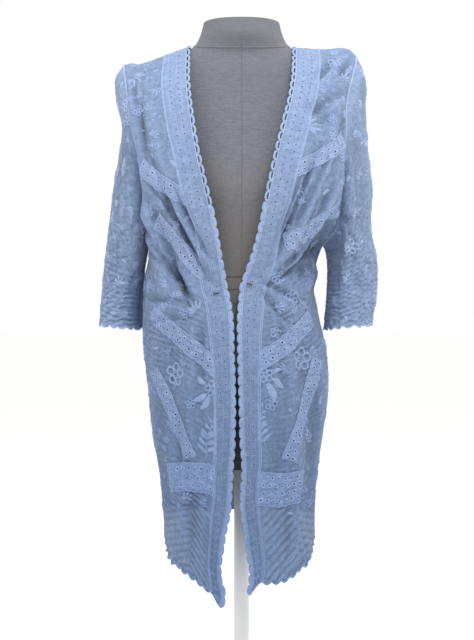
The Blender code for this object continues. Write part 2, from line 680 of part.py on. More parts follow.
def laid_strip(name, grid, normals, corners, finish, collection):
    """Lay a strip on a panel, from the panel's own facets moved out."""
    columns = grid.shape[1]
    points, outer, inner, triangles = {}, [], [], []
    flat = [(j, i) for i in range(grid.shape[0]) for j in range(columns)]
    low = np.min(corners, axis=0) - 1
    high = np.max(corners, axis=0) + 1
    for triple in cell_triangles(*grid.shape[:2]):
        polygon = [flat[k] for k in triple]
        if not all(low[0] <= p[0] <= high[0] and low[1] <= p[1] <= high[1] for p in polygon):
            continue
        base = polygon
        for i in range(4):
            if len(polygon) >= 3:
                polygon = clip_polygon(polygon, corners[i], corners[(i + 1) % 4])
        if len(polygon) < 3:
            continue
        keys = []
        for p in polygon:
            key = (round(p[0], 4), round(p[1], 4))
            if key not in points:
                points[key] = len(outer)
                share = barycentric(base, p)
                at = sum(w * grid[b[1], b[0]] for w, b in zip(share, base))
                out = sum(w * normals[b[1], b[0]] for w, b in zip(share, base))
                out /= np.linalg.norm(out)
                inner.append(at + out * SEAM_GAP)
                outer.append(at + out * (SEAM_GAP + STRIP_WALL))
            if not keys or keys[-1] != points[key]:
                keys.append(points[key])
        if len(keys) > 1 and keys[0] == keys[-1]:
            keys.pop()
        for i in range(1, len(keys) - 1):
            triangles.append((keys[0], keys[i], keys[i + 1]))
    return wall(name, np.array(outer), np.array(inner), triangles, finish, collection)


def barycentric(triangle, p):
    """Share a point out among a triangle's corners."""
    (ax, ay), (bx, by), (cx, cy) = triangle
    whole = (by - cy) * (ax - cx) + (cx - bx) * (ay - cy)
    a = ((by - cy) * (p[0] - cx) + (cx - bx) * (p[1] - cy)) / whole
    b = ((cy - ay) * (p[0] - cx) + (ax - cx) * (p[1] - cy)) / whole
    return a, b, 1 - a - b


# One loop of the edging, as shares of its pitch and of its depth
LOOP_ARCH = [(0.00, 0.30), (0.24, 0.92), (0.76, 0.92), (1.00, 0.30)]
LOOP_HOLE = [(0.17, 0.27), (0.33, 0.66), (0.67, 0.66), (0.83, 0.27)]


def edging(name, band, band_normals, tips, finish, collection):
    """Make the looped edging: a narrow foot along the band with an open loop at each step."""
    outer, inner, triangles = [], [], []

    def place(step, depth):
        i = min(int(step), len(band) - 2)
        t = step - i
        base = band[i, -1] * (1 - t) + band[i + 1, -1] * t
        tip = tips[i] * (1 - t) + tips[i + 1] * t
        out = band_normals[i, -1] * (1 - t) + band_normals[i + 1, -1] * t
        out /= np.linalg.norm(out)
        run = (tip - base) / np.linalg.norm(tip - base)
        at = base + run * (SEAM_GAP + depth * (LOOP_DEPTH - SEAM_GAP))
        outer.append(at)
        inner.append(at - out * CLOTH_WALL)
        return len(outer) - 1

    steps = (len(band) - 1) * LOOPS_PER_ROW
    pitch = 1 / LOOPS_PER_ROW
    foot, notch = place(0, 0), place(0, LOOP_ARCH[0][1])
    for k in range(steps):
        start = k * pitch
        arch = [notch] + [place(start + a * pitch, d) for a, d in LOOP_ARCH[1:]]
        hole = [place(start + a * pitch, d) for a, d in LOOP_HOLE]
        next_foot = place(start + pitch, 0)
        middle = [foot, next_foot, arch[3], hole[3], hole[0], arch[0]]
        triangles += [(middle[0], middle[1], middle[3]), (middle[1], middle[2], middle[3]),
                      (middle[0], middle[3], middle[4]), (middle[0], middle[4], middle[5])]
        for i in range(3):
            a, b, c, d = hole[i], hole[i + 1], arch[i + 1], arch[i]
            triangles += [(a, b, c), (a, c, d)]
        foot, notch = next_foot, arch[3]
    return wall(name, np.array(outer), np.array(inner), triangles, finish, collection)


def sleeve_grid(side):
    """Work out one sleeve as rings from the armhole down to the cuff."""
    cuff = RIGHT_CUFF if side < 0 else LEFT_CUFF
    outline = RIGHT_SLEEVE_OUTER if side < 0 else LEFT_SLEEVE_OUTER
    lifts = np.arange(UPPER_ROWS + 1) / UPPER_ROWS
    front = armhole_point(side, lifts, "front")
    back = armhole_point(side, lifts, "back")
    ring = np.vstack([front, back[-2:0:-1]])
    underarm = np.exp(-((ring[:, 2] - UNDERARM_Z) / 0.020) ** 2)
    ring[:, 0] += side * SEAM_GAP * (1.5 + 3.5 * underarm)
    count = len(ring)
    angle = np.arange(count) / count * 2 * math.pi
    outward = (1 - np.cos(angle)) / 2
    wide = -signed_power(np.cos(angle), 2 / 2.3) * cuff.half_width
    deep = signed_power(np.sin(angle), 2 / 2.3) * cuff.half_depth
    x = cuff.x + wide * math.cos(cuff.turn) + deep * math.sin(cuff.turn)
    y = cuff.y + wide * math.sin(cuff.turn) - deep * math.cos(cuff.turn)
    end = np.stack([side * x, y, CUFF_Z - 0.004 * np.cos(angle)], axis=-1)
    facing = np.sin(angle)
    leave = np.stack([side * (cuff.leave + (0.045 - cuff.leave) * outward), -0.020 * facing,
                      -0.060 - 0.30 * np.abs(facing) + 0.10 * outward**3], axis=-1)
    arrive = np.stack([0 * angle, 0 * angle, -(ring[:, 2] - CUFF_Z) * 0.95], axis=-1)
    grid = []
    for t in np.linspace(0, 1, SLEEVE_RINGS + 1):
        row = hermite(ring, end, leave, arrive, np.full(count, t))
        outer_x = smooth_curve(outline, row[:, 2], "z", "x")
        pull = outward**2 * smoothstep(0, 0.10, t) * (side * outer_x - row[np.argmax(outward), 0])
        row[:, 0] += np.where(t > 0, pull * np.clip(outward**2, 0, 1), 0)
        grid.append(row)
    grid = np.array(grid)
    normals = grid_normals(grid, closed=True) * (-side)
    share = np.arange(count)[None, :] / count
    along = np.linspace(0, 1, SLEEVE_RINGS + 1)[:, None]
    depth = sum(crease_depth(share, along, crease) for crease in SLEEVE_CREASES)
    grid = grid - normals * (depth * smoothstep(0, 0.15, along))[..., None]
    return grid


def crease_depth(share, along, crease):
    """How deep a crease of the sleeve is at a place round it and along it."""
    t = np.clip((along - crease.start) / (crease.end - crease.start), 0, 1)
    middle = crease.round + (crease.round_end - crease.round) * t
    fade = np.sin(math.pi * t) ** 0.7
    return crease.depth * fade * np.exp(-((share - middle) / crease.width) ** 2)


def sleeve_wall(name, side, finish, collection):
    """Make one sleeve as an open tube."""
    grid = sleeve_grid(side)
    normals = grid_normals(grid, closed=True) * (-side)
    for j in range(grid.shape[1]):
        z = grid[0, j, 2]
        out = np.array([side * 0.35, grid[0, j, 1] / 0.075, (z - 0.930) / 0.170])
        out /= np.linalg.norm(out)
        weight = float(smoothstep(0.785, 0.835, z))
        mixed = normals[0, j] * (1 - weight) + out * weight
        normals[0, j] = mixed / np.linalg.norm(mixed)
    down = grid[-1] - grid[-2]
    down /= np.linalg.norm(down, axis=1, keepdims=True)
    grid[-1, ::2] += down[::2] * CUFF_SCALLOP
    return panel_wall(name, grid, normals, CLOTH_WALL, finish, collection, closed=True)


def form_ring(ring, sides):
    """Place the points of one section of the dress form."""
    angle = np.arange(sides) / sides * 2 * math.pi
    x = signed_power(np.sin(angle), 2 / FORM_POWER) * ring.half_width
    y = ring.middle_y - signed_power(np.cos(angle), 2 / FORM_POWER) * ring.half_depth
    return np.stack([x, y, np.full(sides, ring.z)], axis=-1)


def form_solid(name, heights, finish, collection):
    """Loft a closed length of the dress form through sections at the given heights."""
    rings = []
    for z in heights:
        ring = FormRing(z, *(float(smooth_curve(FORM_RINGS, z, "z", key))
                             for key in ("half_width", "half_depth", "middle_y")))
        rings.append(form_ring(ring, FORM_SIDES))
    points = list(np.vstack(rings))
    faces = cell_triangles(len(rings), FORM_SIDES, closed=True)
    last = (len(rings) - 1) * FORM_SIDES
    faces.append(tuple(range(FORM_SIDES))[::-1])
    faces.append(tuple(last + k for k in range(FORM_SIDES)))
    return add_object(name, points, faces, finish, collection)


def turned(name, profile, finish, collection):
    """Turn a profile of (radius, height) round the Z axis into a closed solid."""
    points, faces = [], []
    for radius, z in profile:
        for k in range(STAND_SEGMENTS):
            angle = k / STAND_SEGMENTS * 2 * math.pi
            points.append((radius * math.cos(angle), radius * math.sin(angle), z))
    for i in range(len(profile) - 1):
        for k in range(STAND_SEGMENTS):
            n = (k + 1) % STAND_SEGMENTS
            a, b = i * STAND_SEGMENTS, (i + 1) * STAND_SEGMENTS
            faces.append((a + k, a + n, b + n, b + k))
    last = (len(profile) - 1) * STAND_SEGMENTS
    faces.append(tuple(range(STAND_SEGMENTS))[::-1])
    faces.append(tuple(last + k for k in range(STAND_SEGMENTS)))
    made = add_object(name, points, faces, finish, collection)
    made.data.set_sharp_from_angle(angle=math.radians(40))
    return made


def build_stand(steel, collection):
    """Make the base plate with its collar and the pole up to the form."""
    edge = [(BASE_RADIUS - BASE_EDGE_ROUND * (1 - math.cos(a)),
             BASE_THICKNESS - BASE_EDGE_ROUND * (1 - math.sin(a)))
            for a in np.linspace(0, math.pi / 2, 4)]
    profile = [(BASE_RADIUS, 0.0)] + edge
    profile += [(COLLAR_RADIUS + 0.004, BASE_THICKNESS), (COLLAR_RADIUS, BASE_THICKNESS + 0.004),
                (COLLAR_RADIUS - 0.003, BASE_THICKNESS + COLLAR_HEIGHT)]
    turned("stand_base", profile, steel, collection)
    foot = BASE_THICKNESS + COLLAR_HEIGHT + SEAM_GAP
    head = FORM_RINGS[0].z - SEAM_GAP
    turned("stand_pole", [(POLE_RADIUS, foot), (POLE_RADIUS, head)], steel, collection)


def build_form(linen, paint, collection):
    """Make the covered torso and the painted hip base below it."""
    torso = [HIP_BASE_TOP + SEAM_GAP] + [r.z for r in FORM_RINGS if r.z > HIP_BASE_TOP + 0.01]
    form_solid("form_torso", torso, linen, collection)
    base = [r.z for r in FORM_RINGS if r.z < HIP_BASE_TOP - 0.01] + [HIP_BASE_TOP]
    form_solid("form_hip_base", base, paint, collection)


def build_front(side, cloth, trim, collection):
    """Make one front panel, its band, its looped edging and its insertion strips."""
    label = "right" if side < 0 else "left"
    panel, band, rows = front_grids(side)
    flip = 1 if side < 0 else -1
    panel = scallop(shift_seams(panel, (0,), False), HEM_SCALLOP)
    band = shift_seams(band, (), False)
    panel_normals = grid_normals(panel) * flip
    band_normals = grid_normals(band) * flip
    shared = panel_normals[:, -1] + band_normals[:, 0]
    shared /= np.linalg.norm(shared, axis=1, keepdims=True)
    panel_normals[:, -1] = band_normals[:, 0] = shared
    panel_normals = top_normals(panel, seam_normals(panel, panel_normals, side, 0))
    band_normals = top_normals(band, band_normals)
    panel_wall(f"front_{label}", panel, panel_normals, CLOTH_WALL, cloth, collection)
    panel_wall(f"front_band_{label}", band, band_normals, BAND_WALL, trim, collection)
    tips = rows[:, -1].copy()
    edging(f"edging_{label}", band, band_normals, tips, trim, collection)
    for strip in RIGHT_STRIPS if side < 0 else LEFT_STRIPS:
        corners = strip_corners(panel, strip)
        laid_strip(f"insertion_{strip.name}_{label}", panel, panel_normals, corners, trim,
                   collection)
    return band, band_normals


def build_back(cloth, trim, collection):
    """Make the back panel and the band behind the neck."""
    rows = back_rows()
    places = np.concatenate([np.linspace(0, SEAM_SHARE, 5),
                             np.linspace(SEAM_SHARE, 1 - SEAM_SHARE, BACK_COLUMNS - 7)[1:],
                             np.linspace(1 - SEAM_SHARE, 1, 5)[1:]])
    dense = np.linspace(0, 1, rows.shape[1])
    grid = np.array([[[np.interp(p, dense, row[:, k]) for k in range(3)] for p in places]
                     for row in rows])
    grid = scallop(shift_seams(grid, (0, -1), True), HEM_SCALLOP)
    normals = -grid_normals(grid)
    normals = seam_normals(grid, normals, -1, 0)
    normals = seam_normals(grid, normals, 1, -1)
    normals = top_normals(grid, normals)
    first, last = 4, len(places) - 5
    band = neck_band_grid(grid[-1, first:last + 1])
    band_normals = -grid_normals(band)
    band_normals = top_normals_of_ends(band, band_normals)
    shared = normals[-1, first:last + 1] + band_normals[0]
    shared /= np.linalg.norm(shared, axis=1, keepdims=True)
    shared[0], shared[-1] = band_normals[0, 0], band_normals[0, -1]
    normals[-1, first:last + 1] = shared
    band_normals[0] = shared
    panel_wall("back", grid, normals, CLOTH_WALL, cloth, collection)
    panel_wall("back_neck_band", band, band_normals, BAND_WALL, trim, collection)


def neck_band_grid(outer_edge):
    """Work out the band behind the neck, from the back's top edge in to the neck."""
    count = len(outer_edge)
    t = np.linspace(0, 1, count)
    inner_right = seam_point(-1, 1 - (LOOP_DEPTH + SEAM_GAP / 2) / seam_length(-1))
    inner_left = seam_point(1, 1 - (LOOP_DEPTH + SEAM_GAP / 2) / seam_length(1))
    neck = neck_arc(inner_right, inner_left, 0.0715, -0.004, t)
    neck[:, 1] += SEAM_GAP / 2
    rows = []
    for share in (0.0, 0.5, 1.0):
        row = outer_edge + (neck - outer_edge) * share
        row[:, 2] += 0.004 * math.sin(math.pi * share) * np.sin(math.pi * t)
        rows.append(row)
    grid = np.array(rows)
    inward = grid[1] - grid[0]
    inward /= np.linalg.norm(inward, axis=1, keepdims=True)
    grid[0] += inward * SEAM_GAP
    return grid


def top_normals_of_ends(band, normals):
    """Stand the neck band's two ends upright, where they meet the front bands."""
    for j in (0, -1):
        run = band[-1, j] - band[0, j]
        upright = np.cross(run, (0, 1, 0))
        upright *= np.sign(upright[2]) / np.linalg.norm(upright)
        normals[:, j] = upright
    return normals


def thread_tube(name, points, finish, collection):
    """Make a short thread as a bevelled curve turned into a closed mesh."""
    curve = bpy.data.curves.new(name, "CURVE")
    curve.dimensions = "3D"
    curve.bevel_depth = THREAD_RADIUS
    curve.bevel_resolution = 1
    curve.use_fill_caps = True
    spline = curve.splines.new("POLY")
    spline.points.add(len(points) - 1)
    for node, point in zip(spline.points, points):
        node.co = (*point, 1.0)
    guide = bpy.data.objects.new(name + "_path", curve)
    collection.objects.link(guide)
    view = bpy.context.evaluated_depsgraph_get()
    mesh = bpy.data.meshes.new_from_object(guide.evaluated_get(view))
    bpy.data.objects.remove(guide)
    work = bmesh.new()
    work.from_mesh(mesh)
    bmesh.ops.remove_doubles(work, verts=work.verts, dist=0.00005)
    bmesh.ops.recalc_face_normals(work, faces=work.faces)
    work.to_mesh(mesh)
    work.free()
    mesh.materials.clear()
    mesh.materials.append(finish)
    made = bpy.data.objects.new(name, mesh)
    collection.objects.link(made)
    return made


def band_place(band, normals, z, share, lift):
    """Place a point over the band at a height, a share across it and a distance out."""
    rows = len(band)
    level = np.interp(z, band[:, -1, 2], np.arange(rows))
    i = min(int(level), rows - 2)
    t = level - i
    line = band[i] * (1 - t) + band[i + 1] * t
    out = normals[i] * (1 - t) + normals[i + 1] * t
    across = share * (len(line) - 1)
    j = min(int(across), len(line) - 2)
    u = across - j
    direction = out[j] * (1 - u) + out[j + 1] * u
    direction /= np.linalg.norm(direction)
    return line[j] * (1 - u) + line[j + 1] * u + direction * lift


def build_thread(bands, finish, collection):
    """Make the thread that holds the fronts: two strands across and a stitch on each side."""
    (right_band, right_normals), (left_band, left_normals) = bands
    behind = -(BAND_WALL + THREAD_RADIUS + SEAM_GAP)
    over = THREAD_RADIUS + 3 * SEAM_GAP
    for name, z_right, z_left in (("tie_strand_upper", UPPER_STRAND_Z, UPPER_STRAND_Z),
                                  ("tie_strand_lower", LOWER_STRAND_Z - 0.003, LOWER_STRAND_Z)):
        start = band_place(right_band, right_normals, z_right, 0.80, behind)
        near = band_place(right_band, right_normals, z_right, 0.97, behind)
        far = band_place(left_band, left_normals, z_left, 0.97, behind)
        end = band_place(left_band, left_normals, z_left, 0.80, behind)
        middle = (near + far) / 2 + np.array([0, 0, -0.001])
        thread_tube(name, [start, near, middle, far, end], finish, collection)
    for stitch, (band, normals) in zip(STITCHES, bands):
        run = stitch.across_end - stitch.across
        points = [band_place(band, normals, stitch.z - STITCH_DROP * k, stitch.across + run * k, over)
                  for k in (0.0, 0.5, 1.0)]
        thread_tube(f"tie_stitch_{stitch.side}", points, finish, collection)


def main():
    """Clear the scene and build every piece."""
    for old in list(bpy.data.objects):
        bpy.data.objects.remove(old)
    collection = bpy.data.collections.new("kimono_cardigan_on_dress_form")
    bpy.context.scene.collection.children.link(collection)
    voile = material("cotton_voile", (0.29, 0.38, 0.58), 0.85)
    eyelet = material("eyelet_cotton", (0.38, 0.52, 0.80), 0.80)
    linen = material("natural_linen", (0.22, 0.22, 0.23), 0.90)
    paint = material("black_paint", (0.03, 0.035, 0.04), 0.55)
    steel = material("white_enamelled_steel", (0.80, 0.80, 0.79), 0.35)
    thread = material("dark_thread", (0.02, 0.022, 0.03), 0.70)
    build_stand(steel, collection)
    build_form(linen, paint, collection)
    bands = [build_front(side, voile, eyelet, collection) for side in (-1, 1)]
    build_back(voile, eyelet, collection)
    sleeve_wall("sleeve_right", -1, voile, collection)
    sleeve_wall("sleeve_left", 1, voile, collection)
    build_thread(bands, thread, collection)


main()
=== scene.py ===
"""Looks of a kimono cardigan of cutwork cotton voile, hung on a limbless dress form.

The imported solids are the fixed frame. Every cut piece of cloth is drawn again here as a thin
shell on its solid's form, finer, with its eyelets, loops, tucks and embroidery. Units are
metres, +Z is up, -Y is the garment's front and "right" and "left" are its own sides.
"""

import logging
import math
from dataclasses import dataclass
from enum import Enum
from functools import partial
from typing import Callable, NamedTuple, Optional, Sequence, Union

import bpy
import numpy as np
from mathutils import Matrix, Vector


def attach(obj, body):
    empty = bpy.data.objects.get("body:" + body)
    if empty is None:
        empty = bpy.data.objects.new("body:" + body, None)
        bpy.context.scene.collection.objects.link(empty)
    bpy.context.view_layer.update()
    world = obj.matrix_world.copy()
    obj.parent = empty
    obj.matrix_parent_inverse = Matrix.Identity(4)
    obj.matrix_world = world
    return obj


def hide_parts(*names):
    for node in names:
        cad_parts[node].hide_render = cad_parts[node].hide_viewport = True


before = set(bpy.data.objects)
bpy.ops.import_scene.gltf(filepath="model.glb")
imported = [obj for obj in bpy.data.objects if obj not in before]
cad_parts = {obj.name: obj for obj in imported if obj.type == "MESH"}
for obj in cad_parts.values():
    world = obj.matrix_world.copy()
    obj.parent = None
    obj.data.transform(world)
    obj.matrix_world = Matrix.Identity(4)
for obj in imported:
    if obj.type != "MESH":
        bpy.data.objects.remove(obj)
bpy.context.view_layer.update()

logging.basicConfig(level=logging.INFO, format="%(name)s: %(message)s")
LOG = logging.getLogger("cardigan")

# Names for types. A Grid is values or points in rows and columns, with x, y, z on the last
# axis, and Numbers are one number or many
Grid = np.ndarray
Numbers = Union[float, np.ndarray]
Piece = bpy.types.Object
Material = bpy.types.Material


# Tables that the garment is set out by

class Section(NamedTuple):
    """Outside of the garment's body at one height."""

    z: float
    right: float
    left: float
    front: float
    back: float


class Edge(NamedTuple):
    """X of a front edge's loop tips at one height."""

    z: float
    x: float


class Hem(NamedTuple):
    """Hem height at a share of the way from the side seam to the front edge."""

    across: float
    z: float


class Seam(NamedTuple):
    """Height of the shoulder seam at one distance from the middle."""

    x: float
    z: float


class Armhole(NamedTuple):
    """One level of an armhole, with its two depths."""

    z: float
    x: float
    front: float
    back: float


class Knot(NamedTuple):
    """A share of a run and a value there."""

    share: float
    value: float


class Width(NamedTuple):
    """How wide the front bands are at a height."""

    z: float
    width: float


class Cuff(NamedTuple):
    """Place, size and turn of a cuff, and how far the sleeve leaves the armhole."""

    x: float
    y: float
    half_width: float
    half_depth: float
    turn: float
    leave: float


class Fold(NamedTuple):
    """A soft trough from (x, z) to (x_end, z_end)."""

    x: float
    z: float
    x_end: float
    z_end: float
    depth: float
    width: float


class Crease(NamedTuple):
    """A crease of a sleeve, by shares round it and along it."""

    round: float
    start: float
    round_end: float
    end: float
    depth: float
    width: float


class Strip(NamedTuple):
    """An insertion strip: its ends across the panel and up it, its width and eyelet rows."""

    name: str
    across: float
    z: float
    across_end: float
    z_end: float
    width: float
    rows: int


class Tuck(NamedTuple):
    """A row of equal tucks: the first one's foot, its run, the step to the next, a count and
    a height."""

    x: float
    z: float
    run_x: float
    run_z: float
    step_x: float
    step_z: float
    count: int
    height: float


class FormRing(NamedTuple):
    """Half width and half depth of the dress form at one height."""

    z: float
    half_width: float
    half_depth: float
    middle_y: float


class Motif(Enum):
    """The kinds of embroidered figure."""

    FLOWER = "flower"
    SPRAY = "spray"
    BRANCH = "branch"
    LEAF = "leaf"
    DOTS = "dots"


class Figure(NamedTuple):
    """One embroidered figure at a place seen from the front."""

    kind: Motif
    x: float
    z: float
    size: float
    turn: float


def make_rows(kind: type, values: tuple) -> tuple:
    """Make the rows of a table, all of one kind."""
    return tuple(kind(*row) for row in values)


# The camera's place, and the plane that places seen from the front are given on
EYE = (-0.0075, -2.3, 0.6656)
FRONT_Y = -0.10
# How square the sections of the body and of a cuff are, and the body's middle
SECTION_POWER = 2.4
CUFF_ROUND = 2 / 2.3
SECTION_Y = 0.004
# Scallops of the hems, and how many rows under a seam small folds fade out over
SCALLOP_PITCH, SCALLOP_DEPTH = 0.0170, 0.0060
STILL_ROWS = 12
# Heights of plain and of bold stitching over the cloth
STITCH, BOLD_STITCH = 0.0007, 0.0009
# How the eyelets of the bands are set out
BAND_EYELETS = {"rows": 2, "pitch": 0.0122, "margin": 0.0065, "hole": 0.0014, "stagger": 0.16}
BODY_SECTIONS = make_rows(Section, (
    (0.180, -0.1250, 0.1190, -0.112, 0.117), (0.314, -0.1280, 0.1213, -0.117, 0.122),
    (0.381, -0.1330, 0.1230, -0.121, 0.126), (0.480, -0.1447, 0.1330, -0.127, 0.131),
    (0.565, -0.1564, 0.1430, -0.130, 0.133), (0.615, -0.1630, 0.1397, -0.128, 0.131),
    (0.666, -0.1647, 0.1297, -0.124, 0.126), (0.733, -0.1614, 0.1196, -0.117, 0.119),
    (0.790, -0.1520, 0.1350, -0.124, 0.116), (0.830, -0.1640, 0.1600, -0.133, 0.118),
    (0.880, -0.1680, 0.1660, -0.139, 0.121), (0.950, -0.1740, 0.1700, -0.132, 0.124),
    (1.020, -0.1850, 0.1800, -0.108, 0.112),
))
BAND_WIDTHS = make_rows(Width, (
    (0.200, 0.0260), (0.480, 0.0270), (0.600, 0.0290), (0.680, 0.0335), (0.800, 0.0365),
    (0.950, 0.0390), (1.030, 0.0400), (1.130, 0.0400),
))
FORM_POWER = 2.25
FORM_RINGS = make_rows(FormRing, (
    (0.4256, 0.1120, 0.1060, 0.002), (0.4400, 0.1160, 0.1090, 0.002),
    (0.5000, 0.1240, 0.1150, 0.003), (0.5600, 0.1290, 0.1170, 0.004),
    (0.6200, 0.1240, 0.1110, 0.003), (0.6800, 0.1120, 0.0970, 0.002),
    (0.7300, 0.1020, 0.0870, 0.001), (0.7800, 0.1040, 0.0900, 0.000),
    (0.8300, 0.1150, 0.0980, -0.004), (0.8800, 0.1290, 0.1070, -0.008),
    (0.9300, 0.1400, 0.1070, -0.004), (0.9800, 0.1520, 0.0960, 0.002),
    (1.0200, 0.1620, 0.0830, 0.007), (1.0500, 0.1680, 0.0720, 0.010),
    (1.0750, 0.1660, 0.0600, 0.012), (1.0900, 0.1560, 0.0530, 0.013),
    (1.1000, 0.1340, 0.0510, 0.013), (1.1090, 0.1070, 0.0510, 0.012),
    (1.1170, 0.0880, 0.0530, 0.010), (1.1250, 0.0780, 0.0560, 0.008),
    (1.1340, 0.0720, 0.0590, 0.005), (1.1480, 0.0665, 0.0595, 0.002),
    (1.1600, 0.0635, 0.0600, 0.000),
))


@dataclass(frozen=True)
class Half:
    """One half of the garment and the tables that set it out."""

    name: str
    side: int
    edge: tuple
    hem: tuple
    seam: tuple
    armhole: tuple
    sleeve_outer: tuple
    cuff: Cuff
    folds: tuple
    soft_folds: tuple
    strips: tuple
    tucks: tuple
    figures: tuple


RIGHT = Half(
    name="right",
    side=-1,
    edge=make_rows(Edge, (
        (0.200, -0.0300), (0.226, -0.0255), (0.247, -0.0315), (0.306, -0.0269), (0.366, -0.0160),
        (0.421, -0.0125), (0.470, -0.0095), (0.552, -0.0086), (0.613, -0.0105), (0.686, -0.0147),
        (0.723, -0.0224), (0.778, -0.0315), (0.856, -0.0470), (0.901, -0.0580), (0.946, -0.0680),
        (1.001, -0.0765), (1.056, -0.0825), (1.121, -0.0835),
    )),
    hem=make_rows(Hem, (
        (0.00, 0.318), (0.15, 0.300), (0.30, 0.277), (0.50, 0.266), (0.70, 0.252), (0.85, 0.234),
        (0.94, 0.212), (1.00, 0.204),
    )),
    seam=make_rows(Seam, (
        (0.1970, 1.0940), (0.1850, 1.0975), (0.1750, 1.0960), (0.1580, 1.1000), (0.1200, 1.1140),
        (0.0835, 1.1270),
    )),
    armhole=make_rows(Armhole, (
        (0.790, 0.1520, 0.000, 0.000), (0.820, 0.1580, -0.036, 0.036),
        (0.870, 0.1610, -0.060, 0.058), (0.922, 0.1660, -0.070, 0.068),
        (0.967, 0.1750, -0.071, 0.070), (1.011, 0.1830, -0.063, 0.067),
        (1.049, 0.1890, -0.046, 0.056), (1.078, 0.1950, -0.019, 0.036),
        (1.094, 0.1970, 0.012, 0.012),
    )),
    sleeve_outer=make_rows(Edge, (
        (0.658, 0.2310), (0.682, 0.2300), (0.780, 0.2200), (0.878, 0.2100), (0.952, 0.1990),
        (0.985, 0.1985), (1.026, 0.2090), (1.070, 0.2110), (1.094, 0.1985),
    )),
    cuff=Cuff(0.1990, 0.028, 0.0300, 0.0640, math.radians(17), 0.025),
    folds=make_rows(Fold, (
        (-0.143, 0.865, -0.085, 0.690, 0.0150, 0.013),
        (-0.126, 0.880, -0.058, 0.720, 0.0110, 0.011),
        (-0.100, 0.857, -0.052, 0.755, 0.0080, 0.009),
        (-0.120, 0.650, -0.100, 0.400, 0.0065, 0.015),
        (-0.062, 0.580, -0.068, 0.300, 0.0055, 0.014),
        (-0.052, 0.340, -0.046, 0.215, 0.0070, 0.010),
    )),
    soft_folds=make_rows(Fold, (
        (-0.150, 0.940, -0.108, 0.810, 0.0040, 0.0050),
        (-0.150, 0.886, -0.036, 0.712, 0.0060, 0.0042),
        (-0.128, 0.868, -0.052, 0.722, 0.0055, 0.0036),
        (-0.168, 0.836, -0.080, 0.684, 0.0055, 0.0044),
        (-0.112, 0.884, -0.042, 0.748, 0.0050, 0.0036),
        (-0.153, 0.858, -0.096, 0.712, 0.0050, 0.0036),
        (-0.150, 0.780, -0.072, 0.692, 0.0055, 0.0045),
        (-0.168, 1.010, -0.150, 0.900, 0.0045, 0.0070),
        (-0.180, 1.070, -0.166, 0.960, 0.0035, 0.0055),
        (-0.166, 1.084, -0.158, 0.930, 0.0028, 0.0050),
        (-0.085, 0.960, -0.074, 0.850, 0.0030, 0.0060),
        (-0.160, 0.700, -0.070, 0.688, 0.0035, 0.0060),
        (-0.150, 0.660, -0.075, 0.672, 0.0030, 0.0055),
        (-0.140, 0.560, -0.125, 0.380, 0.0040, 0.0080),
        (-0.100, 0.520, -0.096, 0.360, 0.0035, 0.0080),
        (-0.085, 0.450, -0.080, 0.290, 0.0045, 0.0090),
        (-0.060, 0.660, -0.066, 0.560, 0.0030, 0.0060),
    )),
    strips=make_rows(Strip, (
        ("waist", 0.43, 0.679, 1.04, 0.583, 0.030, 2), ("hip", 0.41, 0.584, 0.76, 0.446, 0.028, 2),
        ("hem", 0.49, 0.410, 1.04, 0.408, 0.046, 3),
        ("chest_upper", 0.28, 0.914, 1.04, 0.856, 0.030, 2),
        ("chest_lower", 0.45, 0.826, 1.04, 0.737, 0.026, 2),
    )),
    tucks=make_rows(Tuck, (
        (-0.0800, 0.3740, 0.0400, -0.0720, 0.0000, -0.0125, 9, 1.0),
        (-0.1260, 0.3640, 0.0440, 0.0050, 0.0000, -0.0110, 9, 0.8),
    )),
    figures=make_rows(Figure, (
        (Motif.FLOWER, -0.1045, 0.5790, 0.0190, 0.3), (Motif.FLOWER, -0.0470, 0.5560, 0.0125, 0.9),
        (Motif.LEAF, -0.0560, 0.5480, 0.0240, -2.4), (Motif.LEAF, -0.0570, 0.5620, 0.0200, 2.6),
        (Motif.LEAF, -0.0520, 0.5440, 0.0260, -1.9), (Motif.BRANCH, -0.0560, 0.4420, 0.0720, 1.72),
        (Motif.BRANCH, -0.0440, 0.4400, 0.0560, 1.45),
        (Motif.BRANCH, -0.1390, 0.4600, 0.0450, 1.30),
        (Motif.SPRAY, -0.1750, 1.0540, 0.0230, -0.5), (Motif.FLOWER, -0.1660, 1.0000, 0.0090, 0.2),
        (Motif.DOTS, -0.1480, 0.9960, 0.0120, 0.0), (Motif.BRANCH, -0.1340, 0.6700, 0.0380, 0.9),
        (Motif.SPRAY, -0.0700, 0.6800, 0.0200, 2.4), (Motif.LEAF, -0.1150, 0.9200, 0.0170, -0.7),
    )),
)
